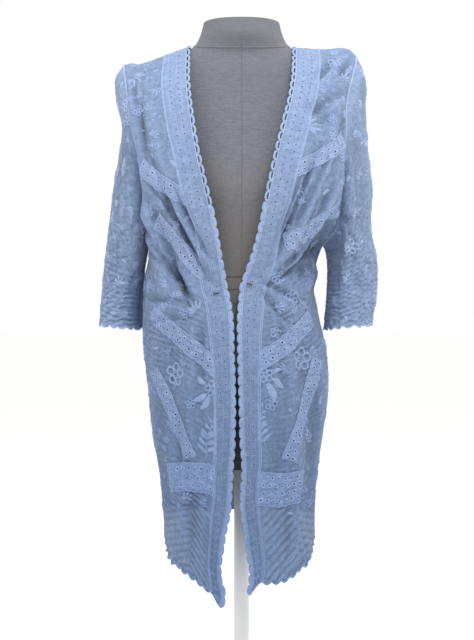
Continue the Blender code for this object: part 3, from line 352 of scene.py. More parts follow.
LEFT = Half(
    name="left",
    side=1,
    edge=make_rows(Edge, (
        (0.219, 0.0085), (0.247, 0.0144), (0.308, 0.0070), (0.373, -0.0020), (0.424, 0.0005),
        (0.476, -0.0030), (0.552, -0.0055), (0.597, -0.0070), (0.686, -0.0065), (0.720, -0.0030),
        (0.757, 0.0110), (0.796, 0.0220), (0.850, 0.0330), (0.923, 0.0480), (0.968, 0.0590),
        (1.013, 0.0710), (1.058, 0.0790), (1.121, 0.0830),
    )),
    hem=make_rows(Hem, (
        (0.00, 0.318), (0.15, 0.300), (0.30, 0.275), (0.50, 0.262), (0.70, 0.248), (0.85, 0.246),
        (0.94, 0.244), (1.00, 0.222),
    )),
    seam=make_rows(Seam, (
        (0.1930, 1.1080), (0.1850, 1.1180), (0.1700, 1.1230), (0.1480, 1.1215), (0.1100, 1.1215),
        (0.0830, 1.1245),
    )),
    armhole=make_rows(Armhole, (
        (0.790, 0.1350, 0.000, 0.000), (0.820, 0.1560, -0.040, 0.036),
        (0.870, 0.1620, -0.063, 0.058), (0.922, 0.1650, -0.071, 0.068),
        (0.970, 0.1690, -0.072, 0.070), (1.016, 0.1700, -0.064, 0.067),
        (1.060, 0.1800, -0.046, 0.056), (1.090, 0.1890, -0.019, 0.036),
        (1.108, 0.1930, 0.012, 0.012),
    )),
    sleeve_outer=make_rows(Edge, (
        (0.658, 0.2170), (0.720, 0.2270), (0.775, 0.2250), (0.810, 0.2170), (0.880, 0.2190),
        (0.960, 0.2120), (1.020, 0.2095), (1.070, 0.2090), (1.108, 0.1940),
    )),
    cuff=Cuff(0.1790, 0.006, 0.0390, 0.0620, math.radians(4), 0.045),
    folds=make_rows(Fold, (
        (0.150, 0.830, 0.088, 0.730, 0.0180, 0.013), (0.130, 0.940, 0.055, 0.775, 0.0110, 0.012),
        (0.150, 0.920, 0.100, 0.800, 0.0080, 0.010), (0.118, 1.012, 0.130, 0.972, 0.0100, 0.017),
        (0.100, 0.650, 0.104, 0.420, 0.0065, 0.015), (0.068, 0.500, 0.048, 0.290, 0.0055, 0.014),
    )),
    soft_folds=make_rows(Fold, (
        (0.146, 0.940, 0.080, 0.800, 0.0052, 0.0045), (0.122, 0.930, 0.050, 0.750, 0.0055, 0.0038),
        (0.098, 0.900, 0.040, 0.748, 0.0050, 0.0036), (0.155, 0.890, 0.070, 0.745, 0.0060, 0.0044),
        (0.160, 0.850, 0.048, 0.728, 0.0056, 0.0040), (0.160, 0.800, 0.036, 0.714, 0.0060, 0.0042),
        (0.128, 0.860, 0.060, 0.742, 0.0055, 0.0036), (0.164, 1.036, 0.112, 0.996, 0.0050, 0.0090),
        (0.150, 1.092, 0.120, 1.050, 0.0055, 0.0060), (0.178, 1.094, 0.160, 1.058, 0.0050, 0.0055),
        (0.176, 1.040, 0.160, 0.940, 0.0045, 0.0070), (0.080, 0.930, 0.064, 0.840, 0.0030, 0.0060),
        (0.020, 0.715, 0.085, 0.655, 0.0045, 0.0060), (0.026, 0.726, 0.110, 0.690, 0.0045, 0.0055),
        (0.125, 0.570, 0.112, 0.390, 0.0040, 0.0080), (0.085, 0.420, 0.070, 0.280, 0.0045, 0.0090),
        (0.060, 0.660, 0.064, 0.540, 0.0030, 0.0070),
    )),
    strips=make_rows(Strip, (
        ("waist", 0.43, 0.670, 1.04, 0.596, 0.030, 2), ("hip", 0.42, 0.603, 0.74, 0.441, 0.028, 2),
        ("hem", 0.57, 0.399, 1.04, 0.401, 0.056, 4),
        ("chest_upper", 0.20, 0.957, 1.04, 0.903, 0.030, 2),
        ("chest_lower", 0.18, 0.848, 0.91, 0.789, 0.030, 2),
    )),
    tucks=make_rows(Tuck, (
        (0.0160, 0.3350, 0.0600, 0.0690, 0.0035, -0.0112, 10, 1.0),
        (0.0860, 0.3700, 0.0300, -0.0060, 0.0000, -0.0110, 8, 0.7),
    )),
    figures=make_rows(Figure, (
        (Motif.FLOWER, 0.0950, 0.6032, 0.0190, 0.1), (Motif.FLOWER, 0.0379, 0.5773, 0.0125, 0.5),
        (Motif.LEAF, 0.0500, 0.5790, 0.0170, 0.55), (Motif.LEAF, 0.0480, 0.5715, 0.0250, -0.70),
        (Motif.LEAF, 0.0400, 0.5640, 0.0320, -1.2), (Motif.BRANCH, 0.0390, 0.4620, 0.0620, 1.65),
        (Motif.LEAF, 0.0730, 0.3560, 0.0130, -0.6), (Motif.LEAF, 0.0760, 0.2760, 0.0160, 0.4),
        (Motif.BRANCH, 0.1120, 0.4700, 0.0400, 1.90), (Motif.FLOWER, 0.1493, 1.0780, 0.0130, 0.0),
        (Motif.SPRAY, 0.1640, 1.0500, 0.0200, 0.8), (Motif.SPRAY, 0.1050, 0.9750, 0.0240, 0.2),
        (Motif.FLOWER, 0.1480, 0.9620, 0.0085, 0.4), (Motif.DOTS, 0.1230, 1.0300, 0.0120, 0.0),
        (Motif.BRANCH, 0.1080, 0.6850, 0.0340, 2.4), (Motif.LEAF, 0.1250, 0.5300, 0.0150, 1.2),
        (Motif.LEAF, 0.1290, 0.8650, 0.0170, 0.6),
    )),
)
BACK_FOLDS = make_rows(Fold, (
    (-0.085, 0.930, -0.060, 0.560, 0.0095, 0.017), (-0.020, 0.800, -0.028, 0.420, 0.0070, 0.016),
    (0.040, 0.900, 0.030, 0.520, 0.0090, 0.017), (0.100, 0.780, 0.088, 0.400, 0.0070, 0.016),
    (-0.118, 0.700, -0.100, 0.380, 0.0060, 0.015), (0.000, 1.020, 0.006, 0.900, 0.0050, 0.018),
))
BACK_SOFT_FOLDS = make_rows(Fold, (
    (-0.110, 0.960, -0.100, 0.760, 0.0030, 0.008), (-0.050, 0.960, -0.040, 0.700, 0.0028, 0.008),
    (0.075, 0.980, 0.064, 0.720, 0.0030, 0.008), (0.118, 0.940, 0.112, 0.640, 0.0030, 0.008),
    (-0.060, 0.520, -0.070, 0.360, 0.0030, 0.009), (0.062, 0.560, 0.070, 0.370, 0.0030, 0.009),
    (0.004, 0.600, 0.000, 0.380, 0.0028, 0.009),
))
SLEEVE_CREASES = make_rows(Crease, (
    (0.30, 0.10, 0.36, 0.70, 0.0040, 0.045), (0.42, 0.05, 0.44, 0.40, 0.0045, 0.040),
    (0.20, 0.30, 0.30, 0.90, 0.0035, 0.040), (0.58, 0.05, 0.60, 0.45, 0.0040, 0.040),
    (0.72, 0.15, 0.66, 0.80, 0.0045, 0.045),
))
SLEEVE_SOFT_CREASES = make_rows(Crease, (
    (0.25, 0.05, 0.40, 0.45, 0.0022, 0.018), (0.34, 0.25, 0.20, 0.80, 0.0020, 0.016),
    (0.48, 0.30, 0.38, 0.95, 0.0022, 0.018), (0.12, 0.10, 0.22, 0.50, 0.0022, 0.016),
    (0.66, 0.05, 0.54, 0.60, 0.0022, 0.018), (0.80, 0.20, 0.88, 0.75, 0.0022, 0.018),
    (0.06, 0.35, 0.16, 0.95, 0.0020, 0.016),
))


@dataclass(frozen=True)
class Sizes:
    """Sizes of the garment that more than one piece uses."""

    underarm_z: float = 0.790
    yoke_z: float = 0.950
    side_hem_z: float = 0.318
    back_hem_z: float = 0.336
    cuff_z: float = 0.658
    shoulder_y: float = 0.012
    loop_depth: float = 0.0075
    band_width: float = 0.0400
    seam_gap: float = 0.0003
    seam_share: float = 0.25
    neck_drop: float = 0.030
    neck_depth: float = 0.096
    form_clearance: float = 0.0042
    form_step: float = 0.0005
    form_steps: int = 60
    tie_z: float = 0.7160


SIZES = Sizes()


# Sums that the drape is worked out with

def cubic(start: Numbers, end: Numbers, leave: Numbers, arrive: Numbers, t: Numbers) -> Grid:
    """Blend from a start to an end as t goes from 0 to 1, with set slopes at both."""
    return ((2 * t**3 - 3 * t**2 + 1) * start + (t**3 - 2 * t**2 + t) * leave
            + (3 * t**2 - 2 * t**3) * end + (t**3 - t**2) * arrive)


def smooth_curve(table: Sequence, at: Numbers, value: str) -> Grid:
    """Read a column of a table as a smooth curve through its rows.

    Args:
        table: rows whose first column says where each one is.
        at: one or many places along that first column.
        value: name of the column that is read.

    Returns:
        The value at each place.
    """
    rows = sorted(table)
    xs = np.array([row[0] for row in rows])
    ys = np.array([getattr(row, value) for row in rows])
    slopes = np.gradient(ys, xs)
    at = np.clip(np.asarray(at, dtype=float), xs[0], xs[-1])
    i = np.clip(np.searchsorted(xs, at) - 1, 0, len(xs) - 2)
    span = xs[i + 1] - xs[i]
    return cubic(ys[i], ys[i + 1], span * slopes[i], span * slopes[i + 1], (at - xs[i]) / span)


def smoothstep(low: float, high: float, value: Numbers) -> Grid:
    """Rise smoothly from 0 where a value is low to 1 where it is high."""
    t = np.clip((np.asarray(value, dtype=float) - low) / (high - low), 0.0, 1.0)
    return t * t * (3 - 2 * t)


def signed_power(value: Numbers, power: float) -> Grid:
    """Raise the size of a value to a power and keep its sign."""
    return np.sign(value) * np.abs(value) ** power


def xyz(x: Numbers, y: Numbers, z: Numbers) -> Grid:
    """Join coordinates, some of which may be the same all along, into points."""
    return np.stack(np.broadcast_arrays(x, y, z), axis=-1)


def unit(vectors: Grid) -> Grid:
    """Scale vectors to a length of 1."""
    return vectors / np.maximum(np.linalg.norm(vectors, axis=-1, keepdims=True), 1e-9)


def row_length(row: Grid) -> float:
    """Measure a row of points."""
    return float(np.linalg.norm(np.diff(row, axis=0), axis=1).sum())


def arc_lengths(row: Grid) -> Grid:
    """Measure how far along a row of points each of them is."""
    return np.concatenate([[0], np.cumsum(np.linalg.norm(np.diff(row, axis=0), axis=1))])


def between(at: Numbers, marks: Grid, row: Grid) -> Grid:
    """Read a row of points between them, at places along the marks that they have."""
    return np.stack([np.interp(at, marks, row[:, k]) for k in range(3)], axis=-1)


def spread(row: Grid, places: Grid) -> Grid:
    """Read a dense row at distances from its last point."""
    along = arc_lengths(row)
    return between(along[-1] - places, along, row)


def body_point(angle: Numbers, z: Numbers) -> Grid:
    """Place points on the garment's body.

    Args:
        angle: 0 at the front, pi/2 at the left side.
        z: height.

    Returns:
        The points.
    """
    right, left, front, back = (smooth_curve(BODY_SECTIONS, z, key)
                                for key in ("right", "left", "front", "back"))
    across = signed_power(np.sin(angle), 2 / SECTION_POWER)
    along = np.abs(np.cos(angle)) ** (2 / SECTION_POWER)
    depth = np.where(np.cos(angle) > 0, front, back) - SECTION_Y
    return xyz((right + left) / 2 + across * (left - right) / 2, SECTION_Y + along * depth, z)


def edge_angle(half: Half, z: Numbers) -> Grid:
    """Find the angle round the body of a front's edge.

    Args:
        half: which half of the garment.
        z: height.

    Returns:
        The angle.
    """
    right, left = (smooth_curve(BODY_SECTIONS, z, key) for key in ("right", "left"))
    share = (2 * smooth_curve(half.edge, z, "x") - right - left) / (left - right)
    return np.arcsin(signed_power(np.clip(share, -1.0, 1.0), SECTION_POWER / 2))


def armhole_point(half: Half, share: Numbers, face: str) -> Grid:
    """Place points of an armhole.

    Args:
        half: which half of the garment.
        share: 0 at the underarm, 1 at the shoulder seam.
        face: "front" or "back".

    Returns:
        The points.
    """
    last = len(half.armhole) - 1
    x, y, z = (
        smooth_curve([Knot(i / last, getattr(row, key)) for i, row in enumerate(half.armhole)],
                     share, "value") for key in ("x", face, "z"))
    return xyz(half.side * x, y, z)


def seam_point(half: Half, share: Numbers) -> Grid:
    """Place points of a shoulder seam, from 0 at the armhole to 1 at the neck."""
    x = half.seam[0].x + (half.seam[-1].x - half.seam[0].x) * np.asarray(share, dtype=float)
    return xyz(half.side * x, SIZES.shoulder_y, smooth_curve(half.seam, x, "z"))


def seam_length(half: Half) -> float:
    """Measure a shoulder seam."""
    return row_length(seam_point(half, np.linspace(0, 1, 60)))


def column_steps(grid: Grid, closed: bool) -> Grid:
    """Work out the step across at each point of a grid, which may be closed round."""
    return ((np.roll(grid, -1, axis=1) - np.roll(grid, 1, axis=1)) / 2 if closed
            else np.gradient(grid, axis=1))


def grid_normals(grid: Grid, closed: bool = False) -> Grid:
    """Work out the facing direction at each point of a grid."""
    return unit(np.cross(column_steps(grid, closed), np.gradient(grid, axis=0)))


def blur(field: Grid, times: int) -> Grid:
    """Soften a field of values on a grid.

    Args:
        field: the values.
        times: how many passes.

    Returns:
        The softened field.
    """
    for _ in range(times):
        wide = np.pad(field, 1, mode="edge")
        field = (wide[:-2, 1:-1] + wide[2:, 1:-1] + wide[1:-1, :-2] + wide[1:-1, 2:]
                 + 2 * wide[1:-1, 1:-1]) / 6
    return field


def trough(x: Grid, z: Grid, fold: Fold, steep: float = 0.8) -> Grid:
    """Work out how deep one fold is at each point.

    Args:
        x: X of the points.
        z: heights of the points.
        fold: the fold.
        steep: width of the side that is turned down, as a share of the other.

    Returns:
        Depth at each point, below 0 on the ridges beside the fold.
    """
    run = np.array([fold.x_end - fold.x, fold.z_end - fold.z])
    length = np.hypot(*run)
    along = ((x - fold.x) * run[0] + (z - fold.z) * run[1]) / length**2
    bend = 0.22 * fold.width * np.sin(5.0 * along + 40 * fold.x)
    aside = ((x - fold.x) * run[1] - (z - fold.z) * run[0]) / length + bend
    fade = smoothstep(-0.12, 0.22, along) * (1 - smoothstep(0.72, 1.12, along))
    under = (aside > 0) if run[0] > 0 else (aside < 0)
    width = fold.width * np.where(under, 2 * steep / (1 + steep), 2 / (1 + steep))
    ridge = 0.45 * np.exp(-((np.abs(aside) - 2.0 * width) / width) ** 2)
    return fold.depth * fade * (np.exp(-(aside / width) ** 2) - ridge)


def ease_rows(grid: Grid, share: Grid, lift: Grid) -> Grid:
    """Soften a panel's shape where its rows change at the underarm and at the yoke.

    Args:
        grid: the points.
        share: each column's share of the way across, 0 where it must stay.
        lift: each row's share of the way up from the underarm.

    Returns:
        The eased points.
    """
    soft = grid.copy()
    for _ in range(240):
        soft[1:-1] = (soft[:-2] + 2 * soft[1:-1] + soft[2:]) / 4
    near = np.exp(-(lift / 0.16) ** 2) + np.exp(-((lift - 0.5) / 0.14) ** 2)
    amount = np.clip(near, 0, 1)[:, None] * smoothstep(0.0, 0.16, share)[None, :]
    return grid + (soft - grid) * amount[..., None]


def inside_form(points: Grid) -> Grid:
    """Tell how far through the dress form points are, below 1 where they are inside it."""
    width, depth, middle = (smooth_curve(FORM_RINGS, points[..., 2], key)
                            for key in ("half_width", "half_depth", "middle_y"))
    return (np.abs(points[..., 0] / width) ** FORM_POWER
            + np.abs((points[..., 1] - middle) / depth) ** FORM_POWER) ** (1 / FORM_POWER)


def clear_of_form(grid: Grid, normals: Grid) -> Grid:
    """Push a grid out, softly, until it is clear of the dress form.

    Args:
        grid: the points.
        normals: their facing directions.

    Returns:
        The moved points.
    """
    push = np.zeros(grid.shape[:2])
    for _ in range(SIZES.form_steps):
        at = grid + normals * (push - SIZES.form_clearance)[..., None]
        touching = inside_form(at) < 1
        if not touching.any():
            break
        push[touching] += SIZES.form_step
    for _ in range(3):
        push = np.maximum(push, blur(push, 6))
    return grid + normals * blur(push, 2)[..., None]


def ripples(u: Grid, v: Grid, pitch: float, seed: int) -> Grid:
    """Work out small uneven wavy ripples that mostly run across.

    Args:
        u: distance across the cloth.
        v: distance up the cloth.
        pitch: distance from ripple to ripple.
        seed: which uneven pattern.

    Returns:
        Heights from about -1 to 1.
    """
    rng = np.random.default_rng(seed)
    total = np.zeros(np.shape(u))
    for k in range(4):
        a, b, c = rng.uniform(0, 2 * math.pi, 3)
        own = pitch * (1 + 0.35 * k)
        lean = rng.uniform(-0.30, 0.30)
        warp = 0.30 * np.sin(u / (own * 0.75) + a) + 0.35 * np.sin((u + v) / (own * 1.7) + b)
        height = np.sin(2 * math.pi * ((v + lean * u) / own + warp) + c)
        patch = 0.5 + 0.5 * np.sin(u / (own * 2.3) + 2 * b) * np.sin(v / (own * 1.9) + 2 * a)
        total += height * patch
    return total / 2.4


def crinkles(u: Grid, v: Grid, pitch: float, seed: int) -> Grid:
    """Work out close wavy crinkles that run right across the cloth.

    Args:
        u: distance across the cloth.
        v: distance up the cloth.
        pitch: distance from crinkle to crinkle.
        seed: which uneven pattern.

    Returns:
        Heights from about -1 to 1.
    """
    rng = np.random.default_rng(seed)
    total = np.zeros(np.shape(u))
    for own, share in ((pitch, 0.6), (pitch * 1.27, 0.5), (pitch * 0.71, 0.25)):
        a, b, c, d = rng.uniform(0, 2 * math.pi, 4)
        warp = (0.16 * np.sin(u / (own * 0.55) + a + 0.8 * np.sin(v / (own * 1.3) + d))
                + 0.22 * np.sin(u / (own * 1.25) + b + v / (own * 2.6)))
        total += share * np.sin(2 * math.pi * (v / own + warp) + c)
    return np.sign(total) * np.abs(total) ** 0.8


@dataclass(frozen=True)
class Rows:
    """How finely a panel is drawn, in rows below and above the underarm and in columns."""

    skirt: int = 290
    upper: int = 150
    columns: int = 96
    dense: int = 200

    def shares(self) -> list:
        """List each row's share of the skirt or, with None first, of the part above it."""
        low = [(i / self.skirt, None) for i in range(self.skirt + 1)]
        return low + [(None, i / self.upper) for i in range(1, self.upper + 1)]

    def lifts(self) -> Grid:
        """Give each row's share of the way up from the underarm, below 0 in the skirt."""
        return (np.arange(self.skirt + self.upper + 1) - self.skirt) / self.upper


ROWS = Rows()


def upper_row(angle: Grid, lift: float, top: Grid, arrive_y: float) -> Grid:
    """Run one row of the upper body, on the body up to the yoke and then on to the top.

    Args:
        angle: angles round the body.
        lift: share of the way up from the underarm, one half at the yoke.
        top: the points of the top edge.
        arrive_y: which way the cloth comes over the shoulder.

    Returns:
        The row's points.
    """
    yoke = SIZES.yoke_z
    low = body_point(angle, level(lift))
    if lift <= 0.5:
        return low
    slope = (body_point(angle, yoke) - body_point(angle, yoke - 0.02)) / 0.02
    rise = (top[..., 2] - yoke)[..., None]
    return cubic(low, top, slope * rise * 1.15, np.array([0.0, arrive_y, 0.020]), 2 * lift - 1)


def level(lift: float) -> float:
    """Give the height at which a row of the upper body lies on, or leaves, the body."""
    return SIZES.underarm_z + (SIZES.yoke_z - SIZES.underarm_z) * 2 * min(lift, 0.5)


def front_rows(half: Half) -> tuple:
    """Work out one front as dense rows from its side seam to the loop tips.

    Args:
        half: which half of the garment.

    Returns:
        The grid of points and, for painted shade, each one's fold depth, soft folds 3.2 times
        over.
    """
    share = np.linspace(0, 1, ROWS.dense)
    top = seam_point(half, share)
    start = half.side * math.pi / 2
    rows = []
    for skirt, lift in ROWS.shares():
        if lift is None:
            hem_z = smooth_curve(half.hem, share, "z")
            z = hem_z + (SIZES.underarm_z - hem_z) * skirt
            rows.append(body_point(start + (edge_angle(half, z) - start) * share, z))
            continue
        end = edge_angle(half, level(lift))
        row = upper_row(start + (end - start) * share, lift, top, 0.150)
        row[:, 0] += share**2 * (smooth_curve(half.edge, row[-1, 2], "x") - row[-1, 0])
        row += ((1 - share) ** 1.6)[:, None] * (armhole_point(half, lift, "front") - row[0])
        rows.append(row)
    grid = np.array(rows)
    grid[-1] = top
    lift = ROWS.lifts()
    grid = ease_rows(grid, share, lift)
    x, z = grid[..., 0], grid[..., 2]
    keep = smoothstep(0.0, 0.10, share)[None, :] * (1 - smoothstep(0.455, 0.91, lift))[:, None]
    soft = (smoothstep(0.0, 0.08, share) * (1 - 0.6 * smoothstep(0.85, 1.0, share)))[
        None, :] * (1 - smoothstep(0.80, 1.0, lift))[:, None]
    normals = grid_normals(grid) * -half.side
    depth = sum(trough(x, z, fold) for fold in half.folds) * keep
    sharp = sum(trough(x, z, fold, 0.5) for fold in half.soft_folds) * soft
    grid = grid - normals * (depth + sharp)[..., None]
    tied = np.exp(-((grid[:, -1:, 2] - SIZES.tie_z) / 0.035) ** 2)
    grid[..., 1] += 0.008 * smoothstep(0.35, 1.0, share)[None, :] * tied
    grid[:-1] = clear_of_form(grid, normals)[:-1]
    grid[:, 0, 1] = np.where(lift <= 0, SECTION_Y, grid[:, 0, 1])
    # The soft folds count 3.2 times over here, which makes their painted shade darker than their
    # depth gives
    return grid, depth + 3.2 * sharp


def neck_arc(start: Grid, end: Grid, depth: float, drop: float, t: Grid) -> Grid:
    """Curve behind the neck from one shoulder point to the other.

    Args:
        start: the right point.
        end: the left point.
        depth: how far back the curve goes.
        drop: how far it sinks.
        t: shares of the way.

    Returns:
        The points.
    """
    line = start + (end - start) * t[..., None]
    line[..., 1] += (depth - SIZES.shoulder_y) * np.sin(math.pi * t) ** 0.62
    line[..., 2] -= drop * np.sin(math.pi * t)
    return line


def back_top(share: Grid) -> Grid:
    """Trace the back's top edge along both shoulders and under the neck band.

    Args:
        share: shares of the way from the right armhole to the left one.

    Returns:
        The points.
    """
    seam_share, trim = SIZES.seam_share, SIZES.band_width + SIZES.loop_depth
    reach = {half: 1 - trim / seam_length(half) for half in (RIGHT, LEFT)}
    right = seam_point(RIGHT, np.clip(share / seam_share, 0, 1) * reach[RIGHT])
    left = seam_point(LEFT, np.clip((1 - share) / seam_share, 0, 1) * reach[LEFT])
    t = np.clip((share - seam_share) / (1 - 2 * seam_share), 0, 1)
    arc = neck_arc(seam_point(RIGHT, reach[RIGHT]), seam_point(LEFT, reach[LEFT]),
                   SIZES.neck_depth, SIZES.neck_drop, t)
    line = np.where((share <= seam_share)[:, None], right, arc)
    return np.where((share >= 1 - seam_share)[:, None], left, line)


def back_rows() -> tuple:
    """Work out the back as dense rows from the right side seam round to the left one.

    Returns:
        The grid of points and how deep its folds are at each.
    """
    share = np.linspace(0, 1, 2 * ROWS.dense)
    angle = -math.pi / 2 - math.pi * share
    top = back_top(share)
    rise = smoothstep(0, 0.2, share) * (1 - smoothstep(0.8, 1, share))
    hem_z = SIZES.side_hem_z + (SIZES.back_hem_z - SIZES.side_hem_z) * rise
    rows = []
    for skirt, lift in ROWS.shares():
        if lift is None:
            rows.append(body_point(angle, hem_z + (SIZES.underarm_z - hem_z) * skirt))
            continue
        row = upper_row(angle, lift, top, -0.130)
        for half, near, end in ((RIGHT, share, 0), (LEFT, 1 - share, -1)):
            gap = armhole_point(half, lift, "back") - row[end]
            row = row + (np.clip(1 - 2.2 * near, 0, 1) ** 1.6)[:, None] * gap
        rows.append(row)
    grid = np.array(rows)
    grid[-1] = top
    lift = ROWS.lifts()
    grid = ease_rows(grid, 1 - np.abs(2 * share - 1), lift)
    keep = (smoothstep(0.0, 0.06, share) * (1 - smoothstep(0.94, 1, share)))[None, :] * (
        1 - smoothstep(0.455, 0.91, lift))[:, None]
    depth = sum(trough(grid[..., 0], grid[..., 2], fold)
                for fold in BACK_FOLDS + BACK_SOFT_FOLDS) * keep
    grid = grid + grid_normals(grid) * depth[..., None]
    grid[:-1] = clear_of_form(grid, -grid_normals(grid))[:-1]
    for end in (0, -1):
        grid[:, end, 1] = np.where(lift <= 0, SECTION_Y, grid[:, end, 1])
    return grid, depth


def crease_depth(share: Grid, along: Grid, crease: Crease) -> Grid:
    """Work out how deep a sleeve's crease is.

    Args:
        share: shares of the way round.
        along: shares of the way down.
        crease: the crease.

    Returns:
        Depth at each place.
    """
    t = np.clip((along - crease.start) / (crease.end - crease.start), 0, 1)
    middle = crease.round + (crease.round_end - crease.round) * t
    fade = np.sin(math.pi * t) ** 0.7
    return crease.depth * fade * np.exp(-((share - middle) / crease.width) ** 2)


def sleeve_rings(half: Half, steps: int, rings: int) -> tuple:
    """Work out one sleeve as rings from the armhole down to the cuff.

    Args:
        half: which half of the garment.
        steps: points on each face of a ring.
        rings: steps down the sleeve.

    Returns:
        The grid of points and how deep its creases are at each.
    """
    cuff, side = half.cuff, half.side
    lifts = np.linspace(0, 1, steps + 1)
    ring = np.vstack([armhole_point(half, lifts, "front"),
                      armhole_point(half, lifts, "back")[-2:0:-1]])
    underarm = np.exp(-((ring[:, 2] - SIZES.underarm_z) / 0.020) ** 2)
    ring[:, 0] += side * SIZES.seam_gap * (1.5 + 3.5 * underarm)
    count = len(ring)
    angle = np.arange(count) / count * 2 * math.pi
    outward = (1 - np.cos(angle)) / 2
    facing = np.sin(angle)
    wide = -signed_power(np.cos(angle), CUFF_ROUND) * cuff.half_width
    deep = signed_power(facing, CUFF_ROUND) * cuff.half_depth
    x = cuff.x + wide * math.cos(cuff.turn) + deep * math.sin(cuff.turn)
    y = cuff.y + wide * math.sin(cuff.turn) - deep * math.cos(cuff.turn)
    end = xyz(side * x, y, SIZES.cuff_z - 0.004 * np.cos(angle))
    leave = xyz(side * (cuff.leave + (0.045 - cuff.leave) * outward), -0.020 * facing,
                -0.060 - 0.30 * np.abs(facing) + 0.10 * outward**3)
    arrive = xyz(0.0, 0.0, (SIZES.cuff_z - ring[:, 2]) * 0.95)
    grid = []
    for t in np.linspace(0, 1, rings + 1):
        row = cubic(ring, end, leave, arrive, t)
        outer_x = smooth_curve(half.sleeve_outer, row[:, 2], "x")
        gap = side * outer_x - row[np.argmax(outward), 0]
        row[:, 0] += outward**4 * smoothstep(0, 0.10, t) * gap
        grid.append(row)
    grid = np.array(grid)
    share = np.arange(count)[None, :] / count
    along = np.linspace(0, 1, rings + 1)[:, None]
    depth = sum(crease_depth(share, along, crease)
                for crease in SLEEVE_CREASES + SLEEVE_SOFT_CREASES) * smoothstep(0, 0.15, along)
    return grid + side * grid_normals(grid, closed=True) * depth[..., None], depth


# Finishes

# How far over and under the cloth's mean level its folds get painted shade and its ridges painted
# highlight
HOLLOW_RANGE = (-0.4, 1.0)


def srgb(text: str) -> tuple:
    """Turn a hex colour such as "#93a6ce" into linear red, green, blue and alpha."""
    parts = [int(text[i:i + 2], 16) / 255 for i in (1, 3, 5)]
    return (*(p / 12.92 if p <= 0.04045 else ((p + 0.055) / 1.055) ** 2.4 for p in parts), 1.0)


def add_node(tree: bpy.types.NodeTree, kind: str, inputs: Optional[dict] = None,
             **settings) -> bpy.types.Node:
    """Add a node, set its properties, and set or link its inputs.

    Args:
        tree: the node tree.
        kind: the node's type.
        inputs: for each input, by name or number, a value, a socket, or a node whose first
            output in use is meant.
        **settings: the node's own properties.

    Returns:
        The node.
    """
    node = tree.nodes.new(kind)
    for key, value in settings.items():
        setattr(node, key, value)
    for key, value in (inputs or {}).items():
        if isinstance(value, bpy.types.Node):
            value = next(socket for socket in value.outputs if socket.enabled)
        if isinstance(value, bpy.types.NodeSocket):
            tree.links.new(value, node.inputs[key])
        else:
            node.inputs[key].default_value = value
    return node


def new_material(name: str) -> tuple:
    """Make an empty material.

    Args:
        name: its name.

    Returns:
        The material, what adds a node to it, and its object coordinates.
    """
    made = bpy.data.materials.new(name)
    made.use_nodes = True
    made.node_tree.nodes.clear()
    add = partial(add_node, made.node_tree)
    return made, add, add("ShaderNodeTexCoord").outputs["Object"]


@dataclass(frozen=True)
class ClothFinish:
    """Cotton cloth that lets a little light through.

    colour is the ground cloth and thread the lighter cotton that mottles it. Painted shade makes
    it darker and more saturated towards the hem, darker by low there and high at the shoulders,
    and
    darker in its folds, with painted highlight on their ridges. Noise scales are patches in a
    metre:
    the real thread, 0.1 mm, is too fine to show, so the grain is drawn about 4 mm coarse, or 2 mm
    in stitches.
    """

    name: str
    colour: str
    thread: str
    mottle: float
    sheer: float
    glow: float = 0.08
    relief: float = 0.0005
    grain: float = 260.0
    crinkle: float = 0.0028
    low: float = 0.56
    high: float = 0.90

    def make(self) -> Material:
        """Build the material.

        Returns:
            The material.
        """
        made, add, place = new_material(self.name)
        patches = add("ShaderNodeTexNoise", {
            "Vector": place, "Scale": 120.0, "Detail": 5.0, "Roughness": 0.7})
        amount = add("ShaderNodeMapRange", {
            "Value": patches, "From Min": 0.42, "From Max": 0.64,
            "To Min": 0.0, "To Max": self.mottle})
        ground = add("ShaderNodeMix", {
            "Factor": amount, "A": srgb(self.colour), "B": srgb(self.thread)},
            data_type="RGBA")
        # Painted shade in the folds and painted highlight on their ridges, from each point's fold
        # depth
        hollow = add("ShaderNodeAttribute", attribute_name="hollow").outputs["Fac"]
        shade = add("ShaderNodeMapRange", {
            "Value": hollow, "From Min": HOLLOW_RANGE[0], "From Max": HOLLOW_RANGE[1],
            "To Min": 1.12, "To Max": 0.55})
        height = add("ShaderNodeSeparateXYZ", {"Vector": place}).outputs["Z"]
        # Painted shade: darker towards the hem, from low there to high at the shoulders
        dulled = add("ShaderNodeMapRange", {
            "Value": height, "From Min": 0.36, "From Max": 1.05,
            "To Min": self.low, "To Max": self.high})
        both = add("ShaderNodeMath", {0: shade, 1: dulled}, operation="MULTIPLY")
        # Painted shade colour: more saturated and bluer towards the hem
        deeper = add("ShaderNodeMapRange", {
            "Value": height, "From Min": 0.30, "From Max": 0.80, "To Min": 1.22, "To Max": 1.0})
        bluer = add("ShaderNodeHueSaturation", {"Saturation": deeper, "Color": ground})
        colour = add("ShaderNodeVectorMath", {0: bluer, "Scale": both}, operation="SCALE")
        grain = add("ShaderNodeTexNoise", {
            "Vector": place, "Scale": self.grain, "Detail": 3.0, "Roughness": 0.7})
        stretched = add("ShaderNodeMapping", {"Vector": place, "Scale": (75.0, 75.0, 210.0)})
        crinkle = add("ShaderNodeTexNoise", {
            "Vector": stretched, "Scale": 1.0, "Detail": 3.0, "Distortion": 0.8})
        crumpled = add("ShaderNodeBump", {
            "Height": crinkle, "Distance": self.crinkle, "Strength": 0.9})
        bump = add("ShaderNodeBump", {
            "Height": grain, "Distance": self.relief, "Strength": 0.7, "Normal": crumpled})
        cloth = add("ShaderNodeBsdfPrincipled", {
            "Base Color": colour, "Roughness": 0.86, "Sheen Weight": 0.15, "Normal": bump})
        through = add("ShaderNodeBsdfTranslucent", {"Color": colour, "Normal": bump})
        glowing = add("ShaderNodeMixShader", {0: self.glow, 1: cloth, 2: through})
        final = add("ShaderNodeMixShader", {
            0: self.sheer, 1: glowing, 2: add("ShaderNodeBsdfTransparent")})
        add("ShaderNodeOutputMaterial", {"Surface": final})
        return made


